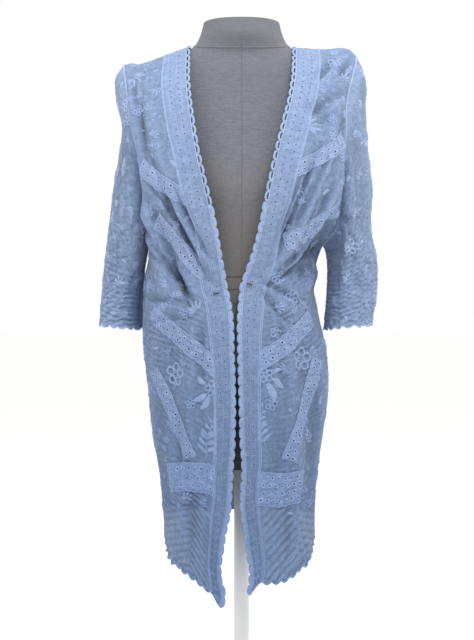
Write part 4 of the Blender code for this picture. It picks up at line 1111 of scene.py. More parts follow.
@dataclass(frozen=True)
class LinenFinish:
    """Natural linen with slubs along both threads, greyer at the chest, lighter at the neck.

    Its real threads are 0.4 mm apart, too fine to show, so they are drawn about 1 mm apart. Its
    greyer chest is painted shade and its lighter neck painted light.
    """

    name: str = "natural_linen"
    # Colours by height: low at the waist, high over the chest as painted shade, neck as painted
    # light
    low: str = "#767270"
    high: str = "#616571"
    neck: str = "#73757d"
    slub: str = "#8c8988"

    def make(self) -> Material:
        """Build the material.

        Returns:
            The material.
        """
        made, add, place = new_material(self.name)
        height = add("ShaderNodeSeparateXYZ", {"Vector": place}).outputs["Z"]
        # Painted shade over the chest and painted light at the neck, by height
        rise = add("ShaderNodeMapRange", {"Value": height, "From Min": 0.77, "From Max": 0.96})
        body = add("ShaderNodeMix", {
            "Factor": rise, "A": srgb(self.low), "B": srgb(self.high)}, data_type="RGBA")
        climb = add("ShaderNodeMapRange", {"Value": height, "From Min": 1.07, "From Max": 1.12})
        ground = add("ShaderNodeMix", {
            "Factor": climb, "A": body, "B": srgb(self.neck)}, data_type="RGBA")
        threads = []
        for scale in ((900.0, 900.0, 60.0), (70.0, 70.0, 900.0)):
            stretched = add("ShaderNodeMapping", {"Vector": place, "Scale": scale})
            threads.append(add("ShaderNodeTexNoise", {
                "Vector": stretched, "Scale": 1.0, "Detail": 2.0}))
        woven = add("ShaderNodeMath", {0: threads[0], 1: threads[1]}, operation="ADD")
        amount = add("ShaderNodeMapRange", {
            "Value": woven, "From Min": 0.85, "From Max": 1.25, "To Min": 0.0, "To Max": 0.45})
        colour = add("ShaderNodeMix", {
            "Factor": amount, "A": ground, "B": srgb(self.slub)}, data_type="RGBA")
        bump = add("ShaderNodeBump", {"Height": woven, "Distance": 0.0003, "Strength": 0.5})
        cloth = add("ShaderNodeBsdfPrincipled", {
            "Base Color": colour, "Roughness": 0.92, "Normal": bump})
        add("ShaderNodeOutputMaterial", {"Surface": cloth})
        return made


@dataclass(frozen=True)
class PaintFinish:
    """A plain painted, enamelled or thread surface with a slight unevenness."""

    name: str
    colour: str
    roughness: float

    def make(self) -> Material:
        """Build the material.

        Returns:
            The material.
        """
        made, add, place = new_material(self.name)
        uneven = add("ShaderNodeTexNoise", {"Vector": place, "Scale": 90.0})
        bump = add("ShaderNodeBump", {"Height": uneven, "Distance": 0.0002, "Strength": 0.2})
        paint = add("ShaderNodeBsdfPrincipled", {
            "Base Color": srgb(self.colour), "Roughness": self.roughness, "Normal": bump})
        add("ShaderNodeOutputMaterial", {"Surface": paint})
        return made


class Finishes:
    """Every finish, made once."""

    def __init__(self) -> None:
        """Make the materials."""
        # Thin plain-woven cotton: a dull, slightly sheer ground with uneven lighter threads
        self.voile = ClothFinish("cotton_voile", "#8398bb", "#a3bbe2", 0.55, 0.03).make()
        # The same voile under close tone-on-tone embroidery: paler and more mottled, and with
        # painted light that keeps the round sleeves lighter and less darkened towards the cuff
        self.sleeve = ClothFinish("embroidered_voile", "#91a7cb", "#b1c8ec", 0.7, 0.03,
                                  low=0.68, high=0.86).make()
        # Closer-woven cotton of the bands: lighter, and nothing shows through it
        self.eyelet = ClothFinish("eyelet_cotton", "#96add6", "#b9cff5", 0.55, 0.0,
                                  low=0.44, high=0.82).make()
        # Eyelet cotton of the strips, stitched all over: lighter still and more mottled
        self.insertion = ClothFinish("insertion_cotton", "#98aed8", "#bed2f6", 0.65, 0.0,
                                     low=0.60).make()
        # Satin stitch over padding: thread lying close, which makes the brightest lines
        self.rim = ClothFinish("padded_satin_stitch", "#b2c7ed", "#d2e1ff", 0.5, 0.0,
                               relief=0.0002, grain=500.0, low=0.67).make()
        # Soft embroidery cotton in satin stitch: pale, with a fine even grain
        self.stitch = ClothFinish("satin_stitch_cotton", "#a6bce4", "#c3d6fa", 0.4, 0.0,
                                  relief=0.0002, grain=500.0, low=0.63).make()
        # The same cotton in flat, thin stitches: little lighter than the cloth under it
        self.sprig = ClothFinish("flat_stitch_cotton", "#a0b7e0", "#bdd1f5", 0.5, 0.0,
                                 relief=0.0002, grain=500.0, low=0.64).make()
        # Linen cover of the form: matt, with streaks of thicker thread both ways
        self.linen = LinenFinish().make()
        # Matt black paint of the hip base: a dark with soft, wide highlights
        self.black = PaintFinish("matt_black_paint", "#23262a", 0.6).make()
        # White enamel of the pole and base plate: smooth, with clearer highlights
        self.enamel = PaintFinish("white_enamel", "#d6d7d8", 0.3).make()
        # Dark sewing thread: nearly black and dull
        self.thread = PaintFinish("dark_sewing_thread", "#191b21", 0.7).make()
        # Pale matt paint of the studio floor: no highlights, soft shadows
        self.floor = PaintFinish("pale_studio_floor", "#fefefd", 0.9).make()


# Surfaces and meshes

class Surface:
    """A draped piece of cloth as rows and columns of points that other things lie on."""

    def __init__(self, points: Grid, outward: int, closed: bool = False) -> None:
        """Measure the grid.

        Args:
            points: rows and columns of points.
            outward: 1 or -1, the sign that turns its normals outwards.
            closed: whether the last column joins the first.
        """
        self.outward, self.closed = outward, closed
        self.move(points)

    def move(self, points: Grid) -> None:
        """Take up new points and work out their directions, steps and places in view.

        Args:
            points: rows and columns of points.
        """
        self.points, self.shape = points, points.shape[:2]
        self.normals = grid_normals(points, self.closed) * self.outward
        self.row_step = np.gradient(points, axis=0)
        self.column_step = column_steps(points, self.closed)
        eye = np.array(EYE)
        near = (FRONT_Y - eye[1]) / (points[..., 1:2] - eye[1])
        self.seen = eye[::2] + (points[..., ::2] - eye[::2]) * near

    def press(self, height: Grid, still: int = 0) -> None:
        """Press small folds into the cloth.

        Args:
            height: how far out each point goes, which is faded out here over the last rows.
            still: how many rows that are.
        """
        if still:
            height[-still:] *= np.linspace(1, 0, still)[:, None]
        self.move(self.points + self.normals * height[..., None])

    def scallop(self, fade: Grid, down: Grid, turn: Grid, depth: float, lift: float = 0) -> None:
        """Let an edge hang in rounded scallops.

        Args:
            fade: how much of them each point takes.
            down: which way the edge hangs at each column.
            turn: the scallops' turn at each column, pi for each of them.
            depth: their depth.
            lift: how far the edge is drawn up.
        """
        hang = (np.abs(np.sin(turn)) * depth - lift)[:, None] * unit(down)
        self.move(self.points + hang * fade[..., None])

    def scallop_hem(self, u: Grid, v: Grid) -> None:
        """Let the first rows hang in scallops, by the distances across and up at each point."""
        self.scallop(1 - smoothstep(0.0, 0.022, v), self.points[0] - self.points[4],
                     math.pi * u[0] / SCALLOP_PITCH, SCALLOP_DEPTH, 0.002)

    def measures(self) -> tuple:
        """Measure how far along the cloth each point is.

        Returns:
            Distance across from the last column and distance up from the first row.
        """
        wide = np.linalg.norm(np.diff(self.points, axis=1), axis=-1)
        tall = np.linalg.norm(np.diff(self.points, axis=0), axis=-1)
        u = np.pad(np.cumsum(wide[:, ::-1], axis=1)[:, ::-1], ((0, 0), (0, 1)))
        return u, np.pad(np.cumsum(tall, axis=0), ((1, 0), (0, 0)))

    def read(self, grid: Grid, row: Numbers, column: Numbers) -> Grid:
        """Read a grid of vectors between its points.

        Args:
            grid: the vectors.
            row: rows, fractions allowed.
            column: columns, fractions allowed.

        Returns:
            A vector for each place.
        """
        rows, columns = self.shape
        row = np.clip(np.asarray(row, dtype=float), 0, rows - 1)
        column = np.asarray(column, dtype=float)
        i = np.minimum(row.astype(int), rows - 2)
        if self.closed:
            j = np.floor(column).astype(int)
        else:
            column = np.clip(column, 0, columns - 1)
            j = np.minimum(column.astype(int), columns - 2)
        s, t = (row - i)[..., None], (column - j)[..., None]
        j, k = j % columns, (j + 1) % columns
        low_row = grid[i, j] * (1 - t) + grid[i, k] * t
        high_row = grid[i + 1, j] * (1 - t) + grid[i + 1, k] * t
        return low_row * (1 - s) + high_row * s

    def at(self, row: Numbers, column: Numbers) -> tuple:
        """Give the points and facing directions of places on the cloth."""
        return self.read(self.points, row, column), unit(self.read(self.normals, row, column))

    def cell(self, row: float, column: float) -> Grid:
        """Measure one step up and one step across at a place."""
        return np.array([np.linalg.norm(self.read(step, row, column))
                         for step in (self.row_step, self.column_step)])

    def moved(self, row: float, column: float, right: Grid, up: Grid) -> tuple:
        """Find the places at small distances from one place.

        Args:
            row: the row.
            column: the column.
            right: distances to the right, seen from outside.
            up: distances up.

        Returns:
            Rows and columns.
        """
        along = self.read(self.column_step, row, column)
        climb = self.read(self.row_step, row, column)
        facing = unit(self.read(self.normals, row, column))
        sign = 1.0 if np.dot(along, np.cross((0, 0, 1), facing)) >= 0 else -1.0
        ex = sign * along / np.linalg.norm(along)
        wanted = np.outer(right, ex) + np.outer(up, np.cross(facing, ex))
        solved = np.linalg.lstsq(np.stack([climb, along], axis=1), wanted.T, rcond=None)[0]
        return row + solved[0], column + solved[1]

    def place(self, across: float, z: float) -> Grid:
        """Find the row and column at a share across and a height.

        Args:
            across: 0 at the first column, 1 at the last.
            z: the height.

        Returns:
            The row and the column.
        """
        column = across * (self.shape[1] - 1)
        j = min(int(column), self.shape[1] - 2)
        t = column - j
        heights = self.points[:, j, 2] * (1 - t) + self.points[:, j + 1, 2] * t
        return np.array([np.interp(z, heights, np.arange(len(heights))), column])

    def seen_at(self, x: float, z: float) -> Grid:
        """Find the row and column that the camera sees at a place of the front plane.

        Args:
            x: the X on that plane.
            z: the height on that plane.

        Returns:
            The row and the column, which lie outside the grid if the place does.
        """
        away = ((self.seen[..., 0] - x) ** 2 + (self.seen[..., 1] - z) ** 2
                + 9.0 * (self.normals[..., 1] > 0.1))
        i, j = np.unravel_index(np.argmin(away), away.shape)
        steps = np.stack([self.row_step[i, j, ::2], self.column_step[i, j, ::2]], axis=1)
        gap = np.array([x, z]) - self.seen[i, j]
        return np.array([i, j]) + np.clip(np.linalg.lstsq(steps, gap, rcond=None)[0], -2, 2)

    def make(self, name: str, finish: Material, measures: tuple, hollow: Grid,
             kept: Optional[Grid] = None) -> Piece:
        """Make the cloth itself as a mesh object.

        Args:
            name: its name.
            finish: its material.
            measures: how far along the cut cloth each point is, as this class measures it.
            hollow: how much painted shade each point gets, from how deep in a fold it lies.
            kept: tells for each face whether it is kept.

        Returns:
            The piece.
        """
        faces = grid_faces(*self.shape, self.closed, self.outward < 0)
        return make_object(name, self.points.reshape(-1, 3),
                           faces if kept is None else faces[kept.ravel()], finish,
                           np.stack([part.ravel() for part in measures], axis=1),
                           np.clip(hollow, *HOLLOW_RANGE))


def make_object(name: str, points: Grid, faces: Sequence, finish: Material,
                uv: Optional[Grid] = None, hollow: Optional[Grid] = None) -> Piece:
    """Make a smooth mesh object.

    Args:
        name: the object's name.
        points: its points.
        faces: its faces, as point numbers.
        finish: its material.
        uv: a place on the cut cloth for each point.
        hollow: how much painted shade each point gets, from how deep in a fold it lies.

    Returns:
        The object, linked to the scene.
    """
    mesh = bpy.data.meshes.new(name)
    mesh.from_pydata(np.asarray(points).tolist(), [], [list(map(int, f)) for f in faces])
    if uv is not None:
        layer = mesh.uv_layers.new(name="cut")
        corner = np.zeros(len(mesh.loops), dtype=np.int32)
        mesh.loops.foreach_get("vertex_index", corner)
        layer.data.foreach_set("uv", np.asarray(uv, dtype=np.float32)[corner].ravel())
    if hollow is not None:
        field = mesh.attributes.new("hollow", "FLOAT", "POINT")
        field.data.foreach_set("value", np.asarray(hollow, dtype=np.float32).ravel())
    mesh.shade_smooth()
    mesh.materials.append(finish)
    made = bpy.data.objects.new(name, mesh)
    bpy.context.scene.collection.objects.link(made)
    LOG.info("%s has %d faces", name, len(mesh.polygons))
    return made


def settle(piece: Piece, nodes: Sequence = ()) -> Piece:
    """Hang a finished piece on the root body and hide the solids that it stands for.

    Args:
        piece: the piece.
        nodes: names of the solids that it stands for.

    Returns:
        The piece.
    """
    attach(piece, "root")
    if nodes:
        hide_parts(*nodes)
    return piece


def grid_faces(rows: int, columns: int, closed: bool, flip: bool) -> Grid:
    """List the four-sided faces of a grid.

    Args:
        rows: number of rows.
        columns: number of columns.
        closed: whether the last column joins the first.
        flip: whether the faces turn the other way.

    Returns:
        Point numbers, four to a face.
    """
    wide = columns if closed else columns - 1
    i, j = np.meshgrid(np.arange(rows - 1), np.arange(wide), indexing="ij")
    i, j = i.ravel(), j.ravel()
    k = (j + 1) % columns
    faces = np.stack([i * columns + j, i * columns + k, (i + 1) * columns + k,
                      (i + 1) * columns + j], axis=1)
    return faces[:, ::-1] if flip else faces


class StripPlace:
    """Where a straight strip lies on a panel, by distance along it and aside."""

    def __init__(self, panel: Surface, strip: Strip) -> None:
        """Measure the strip on the panel.

        Args:
            panel: the panel.
            strip: the strip.
        """
        self.strip = strip
        self.start = panel.place(strip.across, strip.z)
        end = panel.place(strip.across_end, strip.z_end)
        self.size = panel.cell(*((self.start + end) / 2))
        run = (end - self.start) * self.size
        self.length = float(np.linalg.norm(run))
        self.run = run / self.length
        self.aside = np.array([-self.run[1], self.run[0]])

    def places(self, along: Numbers, aside: Numbers) -> list:
        """Find rows and columns by distances along the strip and from its middle line."""
        return [self.start[k] + (along * self.run[k] + aside * self.aside[k]) / self.size[k]
                for k in (0, 1)]

    def covers(self, row: Numbers, column: Numbers, margin: float) -> Grid:
        """Tell which places lie under the strip.

        Args:
            row: rows.
            column: columns.
            margin: how far inside its edges a place has to be.

        Returns:
            True or False for each place.
        """
        away = np.stack([(row - self.start[0]) * self.size[0],
                         (column - self.start[1]) * self.size[1]], axis=-1)
        along, aside = away @ self.run, away @ self.aside
        return ((along > margin) & (along < self.length - margin)
                & (np.abs(aside) < self.strip.width / 2 - margin))


@dataclass(frozen=True)
class EyeletCloth:
    """A flat length of cloth with rows of open eyelets, cut before it is laid.

    Each eyelet has a cell of its own, pitch long, and lies off its middle by the share stagger
    of it. Eyelets nearer to the start than plain_below are closed.
    """

    length: float
    width: float
    rows: int
    pitch: float
    margin: float
    hole: float
    stagger: float = 0.0
    plain_below: float = 0.0

    def cut(self) -> tuple:
        """Cut the cloth.

        Returns:
            Places (along, aside), faces, and the places of the eyelets' middles.
        """
        numbers, faces, middles = {}, [], []

        def face(*corners: tuple) -> None:
            """Add a face, with one number for corners that fall together."""
            faces.append([numbers.setdefault((round(s, 6), round(t, 6)),
                                             (len(numbers), (s, t)))[0] for s, t in corners])

        stations = np.linspace(0, self.length, max(1, round(self.length / self.pitch)) + 1)
        inside = self.width / 2 - self.margin
        lanes = np.linspace(-inside, inside, self.rows + 1)
        quarter = np.linspace(0, 1, 5)
        for start, end in zip(stations[:-1], stations[1:]):
            cuts = start + (end - start) * quarter
            for low, high in ((-self.width / 2, lanes[0]), (lanes[-1], self.width / 2)):
                for a, b in zip(cuts[:-1], cuts[1:]):
                    face((a, low), (b, low), (b, high), (a, high))
            for r, (low, high) in enumerate(zip(lanes[:-1], lanes[1:])):
                shift = self.stagger * (end - start) * (1 if r % 2 else -1)
                x, y = (start + end) / 2 + shift, (low + high) / 2
                middles.append((x, y))
                climb = low + (high - low) * quarter
                rim = [(a, low) for a in cuts[:-1]] + [(end, b) for b in climb[:-1]]
                rim += [(a, high) for a in cuts[:0:-1]] + [(start, b) for b in climb[:0:-1]]
                turns = [math.atan2(b - y, a - x) for a, b in rim]
                inner = [(x + self.hole * math.cos(t), y + self.hole * math.sin(t))
                         for t in turns]
                halfway = [((a + c) / 2, (b + d) / 2) for (a, b), (c, d) in zip(rim, inner)]
                if x < self.plain_below:
                    face(*inner)
                for n in range(len(rim)):
                    m = (n + 1) % len(rim)
                    for outer, within in ((rim, halfway), (halfway, inner)):
                        face(outer[n], outer[m], within[m], within[n])
        return np.array([place for _, place in numbers.values()]), faces, np.array(middles)


def lay_cloth(name: str, cloth: EyeletCloth, surface: Surface, places: Callable, lift: float,
              finish: Material) -> tuple:
    """Lay a length of eyelet cloth on a surface.

    Args:
        name: the piece's name.
        cloth: the flat cloth.
        surface: what it lies on.
        places: turns distances along and aside into rows and columns.
        lift: how far over the surface it lies.
        finish: its material.

    Returns:
        The piece, and the points, facings and directions of its eyelets.
    """
    flat, faces, middles = cloth.cut()
    points, facing = surface.at(*places(*flat.T))
    faces = [f for f in faces if np.linalg.norm(np.cross(
        points[f[2]] - points[f[0]], points[f[3]] - points[f[1]])) >= 1e-8]
    a, b, c = (points[[f[i] for f in faces[:40]]] for i in (0, 1, 2))
    if (np.cross(b - a, c - a) * facing[[f[0] for f in faces[:40]]]).sum() < 0:
        faces = [f[::-1] for f in faces]
    piece = make_object(name, points + facing * lift, faces, finish, uv=flat)
    column = places(*middles.T)[1]
    along, aside = middles[(column > 0.8) & (column < surface.shape[1] - 1.8)].T
    centre, out = surface.at(*places(along, aside))
    ahead, _ = surface.at(*places(along + 0.001, aside))
    return piece, (centre + out * lift, out, unit(ahead - centre))


def rotate(along: Numbers, aside: Numbers, turn: float) -> tuple:
    """Turn distances along and aside of a direction into distances right and up."""
    return (along * math.cos(turn) - aside * math.sin(turn),
            along * math.sin(turn) + aside * math.cos(turn))


class Relief:
    """Satin-stitched lines and leaves laid on a surface, gathered into one mesh."""

    ROUND = ((-0.5, 0.0), (-0.3, 0.8), (0.0, 1.0), (0.3, 0.8), (0.5, 0.0))
    SUNK = 0.0003

    def __init__(self, surface: Surface, lift: float = 0.0003) -> None:
        """Start an empty piece.

        Args:
            surface: what the embroidery lies on.
            lift: how far over the surface it starts, while its very edges lie SUNK lower.
        """
        self.surface, self.lift = surface, lift
        self.points, self.faces, self.uv, self.count = [], [], [], 0

    def line(self, row: Numbers, column: Numbers, width: Numbers, height: Numbers) -> None:
        """Lay one raised line.

        Args:
            row: rows along it, or the same one all along.
            column: columns along it, or the same one all along.
            width: its width, one or many values.
            height: its height, one or many values.
        """
        points, facing = self.surface.at(*np.broadcast_arrays(row, column))
        aside = unit(np.cross(facing, unit(np.gradient(points, axis=0))))
        count = len(points)
        width, height = np.broadcast_to(width, count), np.broadcast_to(height, count)
        for a, h in self.ROUND:
            self.points.append(points + aside * (a * width)[:, None] + facing * (
                self.lift - self.SUNK * (h == 0) + h * height)[:, None])
            self.uv.append(np.stack([arc_lengths(points), a * width], axis=1))
        self.faces.append(self.count + grid_faces(len(self.ROUND), count, False, False))
        self.count += len(self.ROUND) * count

    def path(self, place: Grid, right: Grid, up: Grid, width: Numbers, height: Numbers) -> None:
        """Lay a raised line through distances to the right of and above one place."""
        self.line(*self.surface.moved(*place, right, up), width, height)

    def leaf(self, place: Grid, right: float, up: float, length: float, width: float,
             turn: float) -> None:
        """Lay one padded leaf.

        Args:
            place: row and column that the distances start from.
            right: where the leaf starts, to the right.
            up: where it starts, upwards.
            length: its length.
            width: its greatest width.
            turn: which way it points, 0 to the right and pi/2 up.
        """
        t = np.linspace(0, 1, 9)
        x, z = rotate(length * t, 0.10 * length * np.sin(math.pi * t), turn)
        shape = np.sin(math.pi * (0.06 + 0.88 * t)) ** 0.8
        self.path(place, right + x, up + z, width * shape, STITCH * shape)

    def flower(self, place: Grid, size: float, turn: float) -> None:
        """Lay an outlined flower of five petals with a ring in its middle.

        Args:
            place: row and column of its middle.
            size: its radius.
            turn: the turn of its first petal.
        """
        t = np.linspace(0, 2 * math.pi, 17)
        for k in range(5):
            x, z = rotate(size * (0.64 + 0.34 * np.cos(t)), size * 0.33 * np.sin(t),
                          turn + k * 2 * math.pi / 5)
            self.path(place, x, z, 0.13 * size + 0.0009, 0.0011)
        t = np.linspace(0, 2 * math.pi, 15)
        self.path(place, 0.17 * size * np.cos(t), 0.17 * size * np.sin(t), 0.0016, STITCH)

    def spray(self, place: Grid, size: float, turn: float) -> None:
        """Lay leaves that fan out from one point.

        Args:
            place: row and column of the point.
            size: the longest leaf.
            turn: which way the middle leaf points.
        """
        for k, share in ((-2, 0.66), (-1, 0.88), (0, 1.0), (1, 0.84), (2, 0.6)):
            angle = turn + 0.52 * k
            self.leaf(place, *rotate(0.18 * size, 0, angle), size * share, 0.24 * size, angle)

    def branch(self, place: Grid, size: float, turn: float) -> None:
        """Lay a bent stem with six pairs of leaves.

        Args:
            place: row and column of its foot.
            size: its length.
            turn: which way it points.
        """
        t = np.linspace(0, 1, 14)
        x, z = rotate(size * t, 0.10 * size * np.sin(math.pi * t), turn)
        self.path(place, x, z, 0.0013, 0.0006)
        for k in range(1, 7):
            share = k / 7
            i = int(round(share * 13))
            leaf = size * (0.30 - 0.16 * share)
            for hand in (-1, 1):
                self.leaf(place, x[i], z[i], leaf, 0.36 * leaf, turn + hand * 0.95)
        self.leaf(place, x[-1], z[-1], 0.16 * size, 0.05 * size, turn)

    def dots(self, place: Grid, size: float, turn: float) -> None:
        """Lay a small group of padded dots.

        Args:
            place: row and column of its middle.
            size: radius of the group.
            turn: the turn of its first dot.
        """
        for k in range(6):
            angle = turn + k * math.pi / 3
            far = size * (0.55 + 0.35 * (k % 2))
            self.leaf(place, *rotate(far, 0, angle), 0.0042, 0.0030, angle)

    def figure(self, kind: Motif, place: Grid, size: float, turn: float) -> None:
        """Lay one embroidered figure.

        Args:
            kind: which figure.
            place: row and column.
            size: its size.
            turn: its turn.
        """
        if kind is Motif.LEAF:
            self.leaf(place, 0, 0, size, 0.42 * size, turn)
            return
        {Motif.FLOWER: self.flower, Motif.SPRAY: self.spray, Motif.BRANCH: self.branch,
         Motif.DOTS: self.dots}[kind](place, size, turn)

    def border(self, first: float, last: float, steps: int) -> None:
        """Lay a line up each side edge and two along the hem.

        Args:
            first: column of the line up the first side.
            last: column of the line up the last side.
            steps: how many points the lines along the hem have.
        """
        rows, columns = self.surface.shape
        for column in (first, last):
            self.line(np.linspace(0, rows - 1, 240), column, 0.0022, BOLD_STITCH)
        for row, width in ((0.8, 0.0030), (3.2, 0.0012)):
            self.line(row, np.linspace(0, columns - 1, steps), width, BOLD_STITCH)

    def make(self, name: str, finish: Material,
             slot: str = "eyelet") -> Piece:
        """Gather the lines into one piece."""
        return settle(make_object(name, np.vstack(self.points), np.vstack(self.faces), finish,
                                  uv=np.vstack(self.uv)))


def sprinkle(relief: Relief, rng: np.random.Generator, count: int, apart: float,
             taken: list, allowed: Callable) -> None:
    """Fill free cloth with small figures, kept apart from each other.

    Args:
        relief: what the figures are laid with.
        rng: the source of the unevenness.
        count: how many places are tried.
        apart: the least distance between figures.
        taken: points that are taken already, each with its reach.
        allowed: tells whether a row and column may hold a figure.
    """
    rows, columns = relief.surface.shape
    kinds = (Motif.SPRAY, Motif.BRANCH, Motif.LEAF, Motif.BRANCH, Motif.SPRAY, Motif.FLOWER)
    larger = {Motif.BRANCH: 2.6, Motif.SPRAY: 1.25}
    for _ in range(count):
        row, column = rng.uniform(8, rows - 9), rng.uniform(9, columns - 10)
        kind = kinds[int(rng.integers(len(kinds)))]
        size, turn = rng.uniform(0.006, 0.012), rng.uniform(-math.pi, math.pi)
        point = relief.surface.at(row, column)[0]
        if not allowed(row, column) or any(
                np.linalg.norm(point - other) < apart / 2 + reach for other, reach in taken):
            continue
        taken.append((point, apart / 2))
        relief.figure(kind, np.array([row, column]), size * larger.get(kind, 1.0), turn)


# Repeated small shapes, spread by geometry nodes

class Repeater:
    """Sets a small shape at many places, turned to the cloth, with slight unevenness."""

    INPUTS = {"Geometry": "Geometry", "Shape": "Object", "Finish": "Material",
              "Unevenness": "Float", "Seed": "Int"}

    def __init__(self) -> None:
        """Build the node group once."""
        self.group = bpy.data.node_groups.new("set_on_cloth", "GeometryNodeTree")
        face = self.group.interface
        self.sockets = {name: face.new_socket(name, in_out="INPUT", socket_type="NodeSocket"
                                              + kind).identifier
                        for name, kind in self.INPUTS.items()}
        face.new_socket("Geometry", in_out="OUTPUT", socket_type="NodeSocketGeometry")
        add = partial(add_node, self.group)
        given = add("NodeGroupInput").outputs
        facing, along = (add("GeometryNodeInputNamedAttribute", {"Name": name},
                             data_type="FLOAT_VECTOR") for name in ("facing", "along"))
        upright = add("FunctionNodeAlignRotationToVector", {"Vector": facing}, axis="Z")
        turned = add("FunctionNodeAlignRotationToVector", {
            "Rotation": upright, "Vector": along}, axis="X", pivot_axis="Z")
        least, most = (add("ShaderNodeMath", {0: 1.0, 1: given["Unevenness"]}, operation=sign)
                       for sign in ("SUBTRACT", "ADD"))
        size = add("FunctionNodeRandomValue", {2: least, 3: most, "Seed": given["Seed"]},
                   data_type="FLOAT")
        shape = add("GeometryNodeObjectInfo", {"Object": given["Shape"]}).outputs["Geometry"]
        spread_out = add("GeometryNodeInstanceOnPoints", {
            "Points": given["Geometry"], "Instance": shape, "Rotation": turned,
            "Scale": size.outputs[1]})
        real = add("GeometryNodeRealizeInstances", {"Geometry": spread_out})
        coloured = add("GeometryNodeSetMaterial", {
            "Geometry": real, "Material": given["Finish"]})
        add("NodeGroupOutput", {"Geometry": coloured})

    def spread(self, name: str, shape: Piece, places: tuple, unevenness: float,
               seed: int) -> Piece:
        """Set a shape at every place, make one real mesh of it and remove the shape.

        Args:
            name: the piece's name.
            shape: the small shape, whose material the piece has.
            places: points, facings and directions.
            unevenness: the greatest change of size, as a share.
            seed: which uneven pattern.

        Returns:
            The piece.
        """
        mesh = bpy.data.meshes.new(name + "_places")
        mesh.from_pydata(places[0].tolist(), [], [])
        for key, values in zip(("facing", "along"), places[1:]):
            field = mesh.attributes.new(key, "FLOAT_VECTOR", "POINT")
            field.data.foreach_set("vector", np.asarray(values, dtype=np.float32).ravel())
        holder = bpy.data.objects.new(name + "_places", mesh)
        bpy.context.scene.collection.objects.link(holder)
        modifier = holder.modifiers.new("set_on_cloth", "NODES")
        modifier.node_group = self.group
        for key, value in (("Shape", shape), ("Finish", shape.data.materials[0]),
                           ("Unevenness", unevenness), ("Seed", seed)):
            modifier[self.sockets[key]] = value
        view = bpy.context.evaluated_depsgraph_get()
        real = bpy.data.meshes.new_from_object(holder.evaluated_get(view))
        for used in (holder, shape):
            bpy.data.objects.remove(used)
        real.name = name
        real.shade_smooth()
        piece = bpy.data.objects.new(name, real)
        bpy.context.scene.collection.objects.link(piece)
        LOG.info("%s has %d shapes and %d faces", name, len(places[0]), len(real.polygons))
        return piece


def tube_points(path: Grid, radius: float, sides: int, flat: float = 1.0) -> tuple:
    """Run a round section along a path.

    Args:
        path: the points of its middle line.
        radius: the section's radius.
        sides: how many sides it has.
        flat: its height along Z as a share of its width.

    Returns:
        Points and faces.
    """
    run = unit(np.gradient(path, axis=0))
    aside = unit(np.cross(run, (0.0, 0.0, 1.0)))
    over = np.cross(aside, run)
    angle = np.arange(sides)[:, None] / sides * 2 * math.pi
    points = (path[:, None] + aside[:, None] * np.cos(angle) * radius
              + over[:, None] * np.sin(angle) * radius * flat)
    return points.reshape(-1, 3), grid_faces(len(path), sides, True, False)


@dataclass(frozen=True)
class Shapes:
    """The small shapes that are repeated along the cloth."""

    ring_radius: float = 0.0017
    ring_thickness: float = 0.0006
    loop_reach: float = 0.0049
    loop_thickness: float = 0.0020

    def ring(self, finish: Material) -> Piece:
        """Make the stitched rim of an eyelet.

        Args:
            finish: its material.

        Returns:
            The shape.
        """
        t = np.linspace(0, 2 * math.pi, 13)
        path = xyz(np.cos(t), np.sin(t), 0) * self.ring_radius
        points, faces = tube_points(path, self.ring_thickness, 6, 0.8)
        return make_object("eyelet_rim_shape", points, faces, finish)

    def loop(self, finish: Material, pitch: float) -> Piece:
        """Make one open loop of the edging, from its foot out along +Y.

        Args:
            finish: its material.
            pitch: the distance from loop to loop.

        Returns:
            The shape.
        """
        t = np.linspace(0, math.pi, 15)
        wide = pitch / 2 - self.loop_thickness * 0.5
        path = xyz(-signed_power(np.cos(t), 0.85) * wide, np.sin(t) ** 0.72 * self.loop_reach, 0)
        points, faces = tube_points(path, self.loop_thickness, 7, 0.5)
        return make_object("loop_shape", points, faces, finish)


# Pieces of the garment

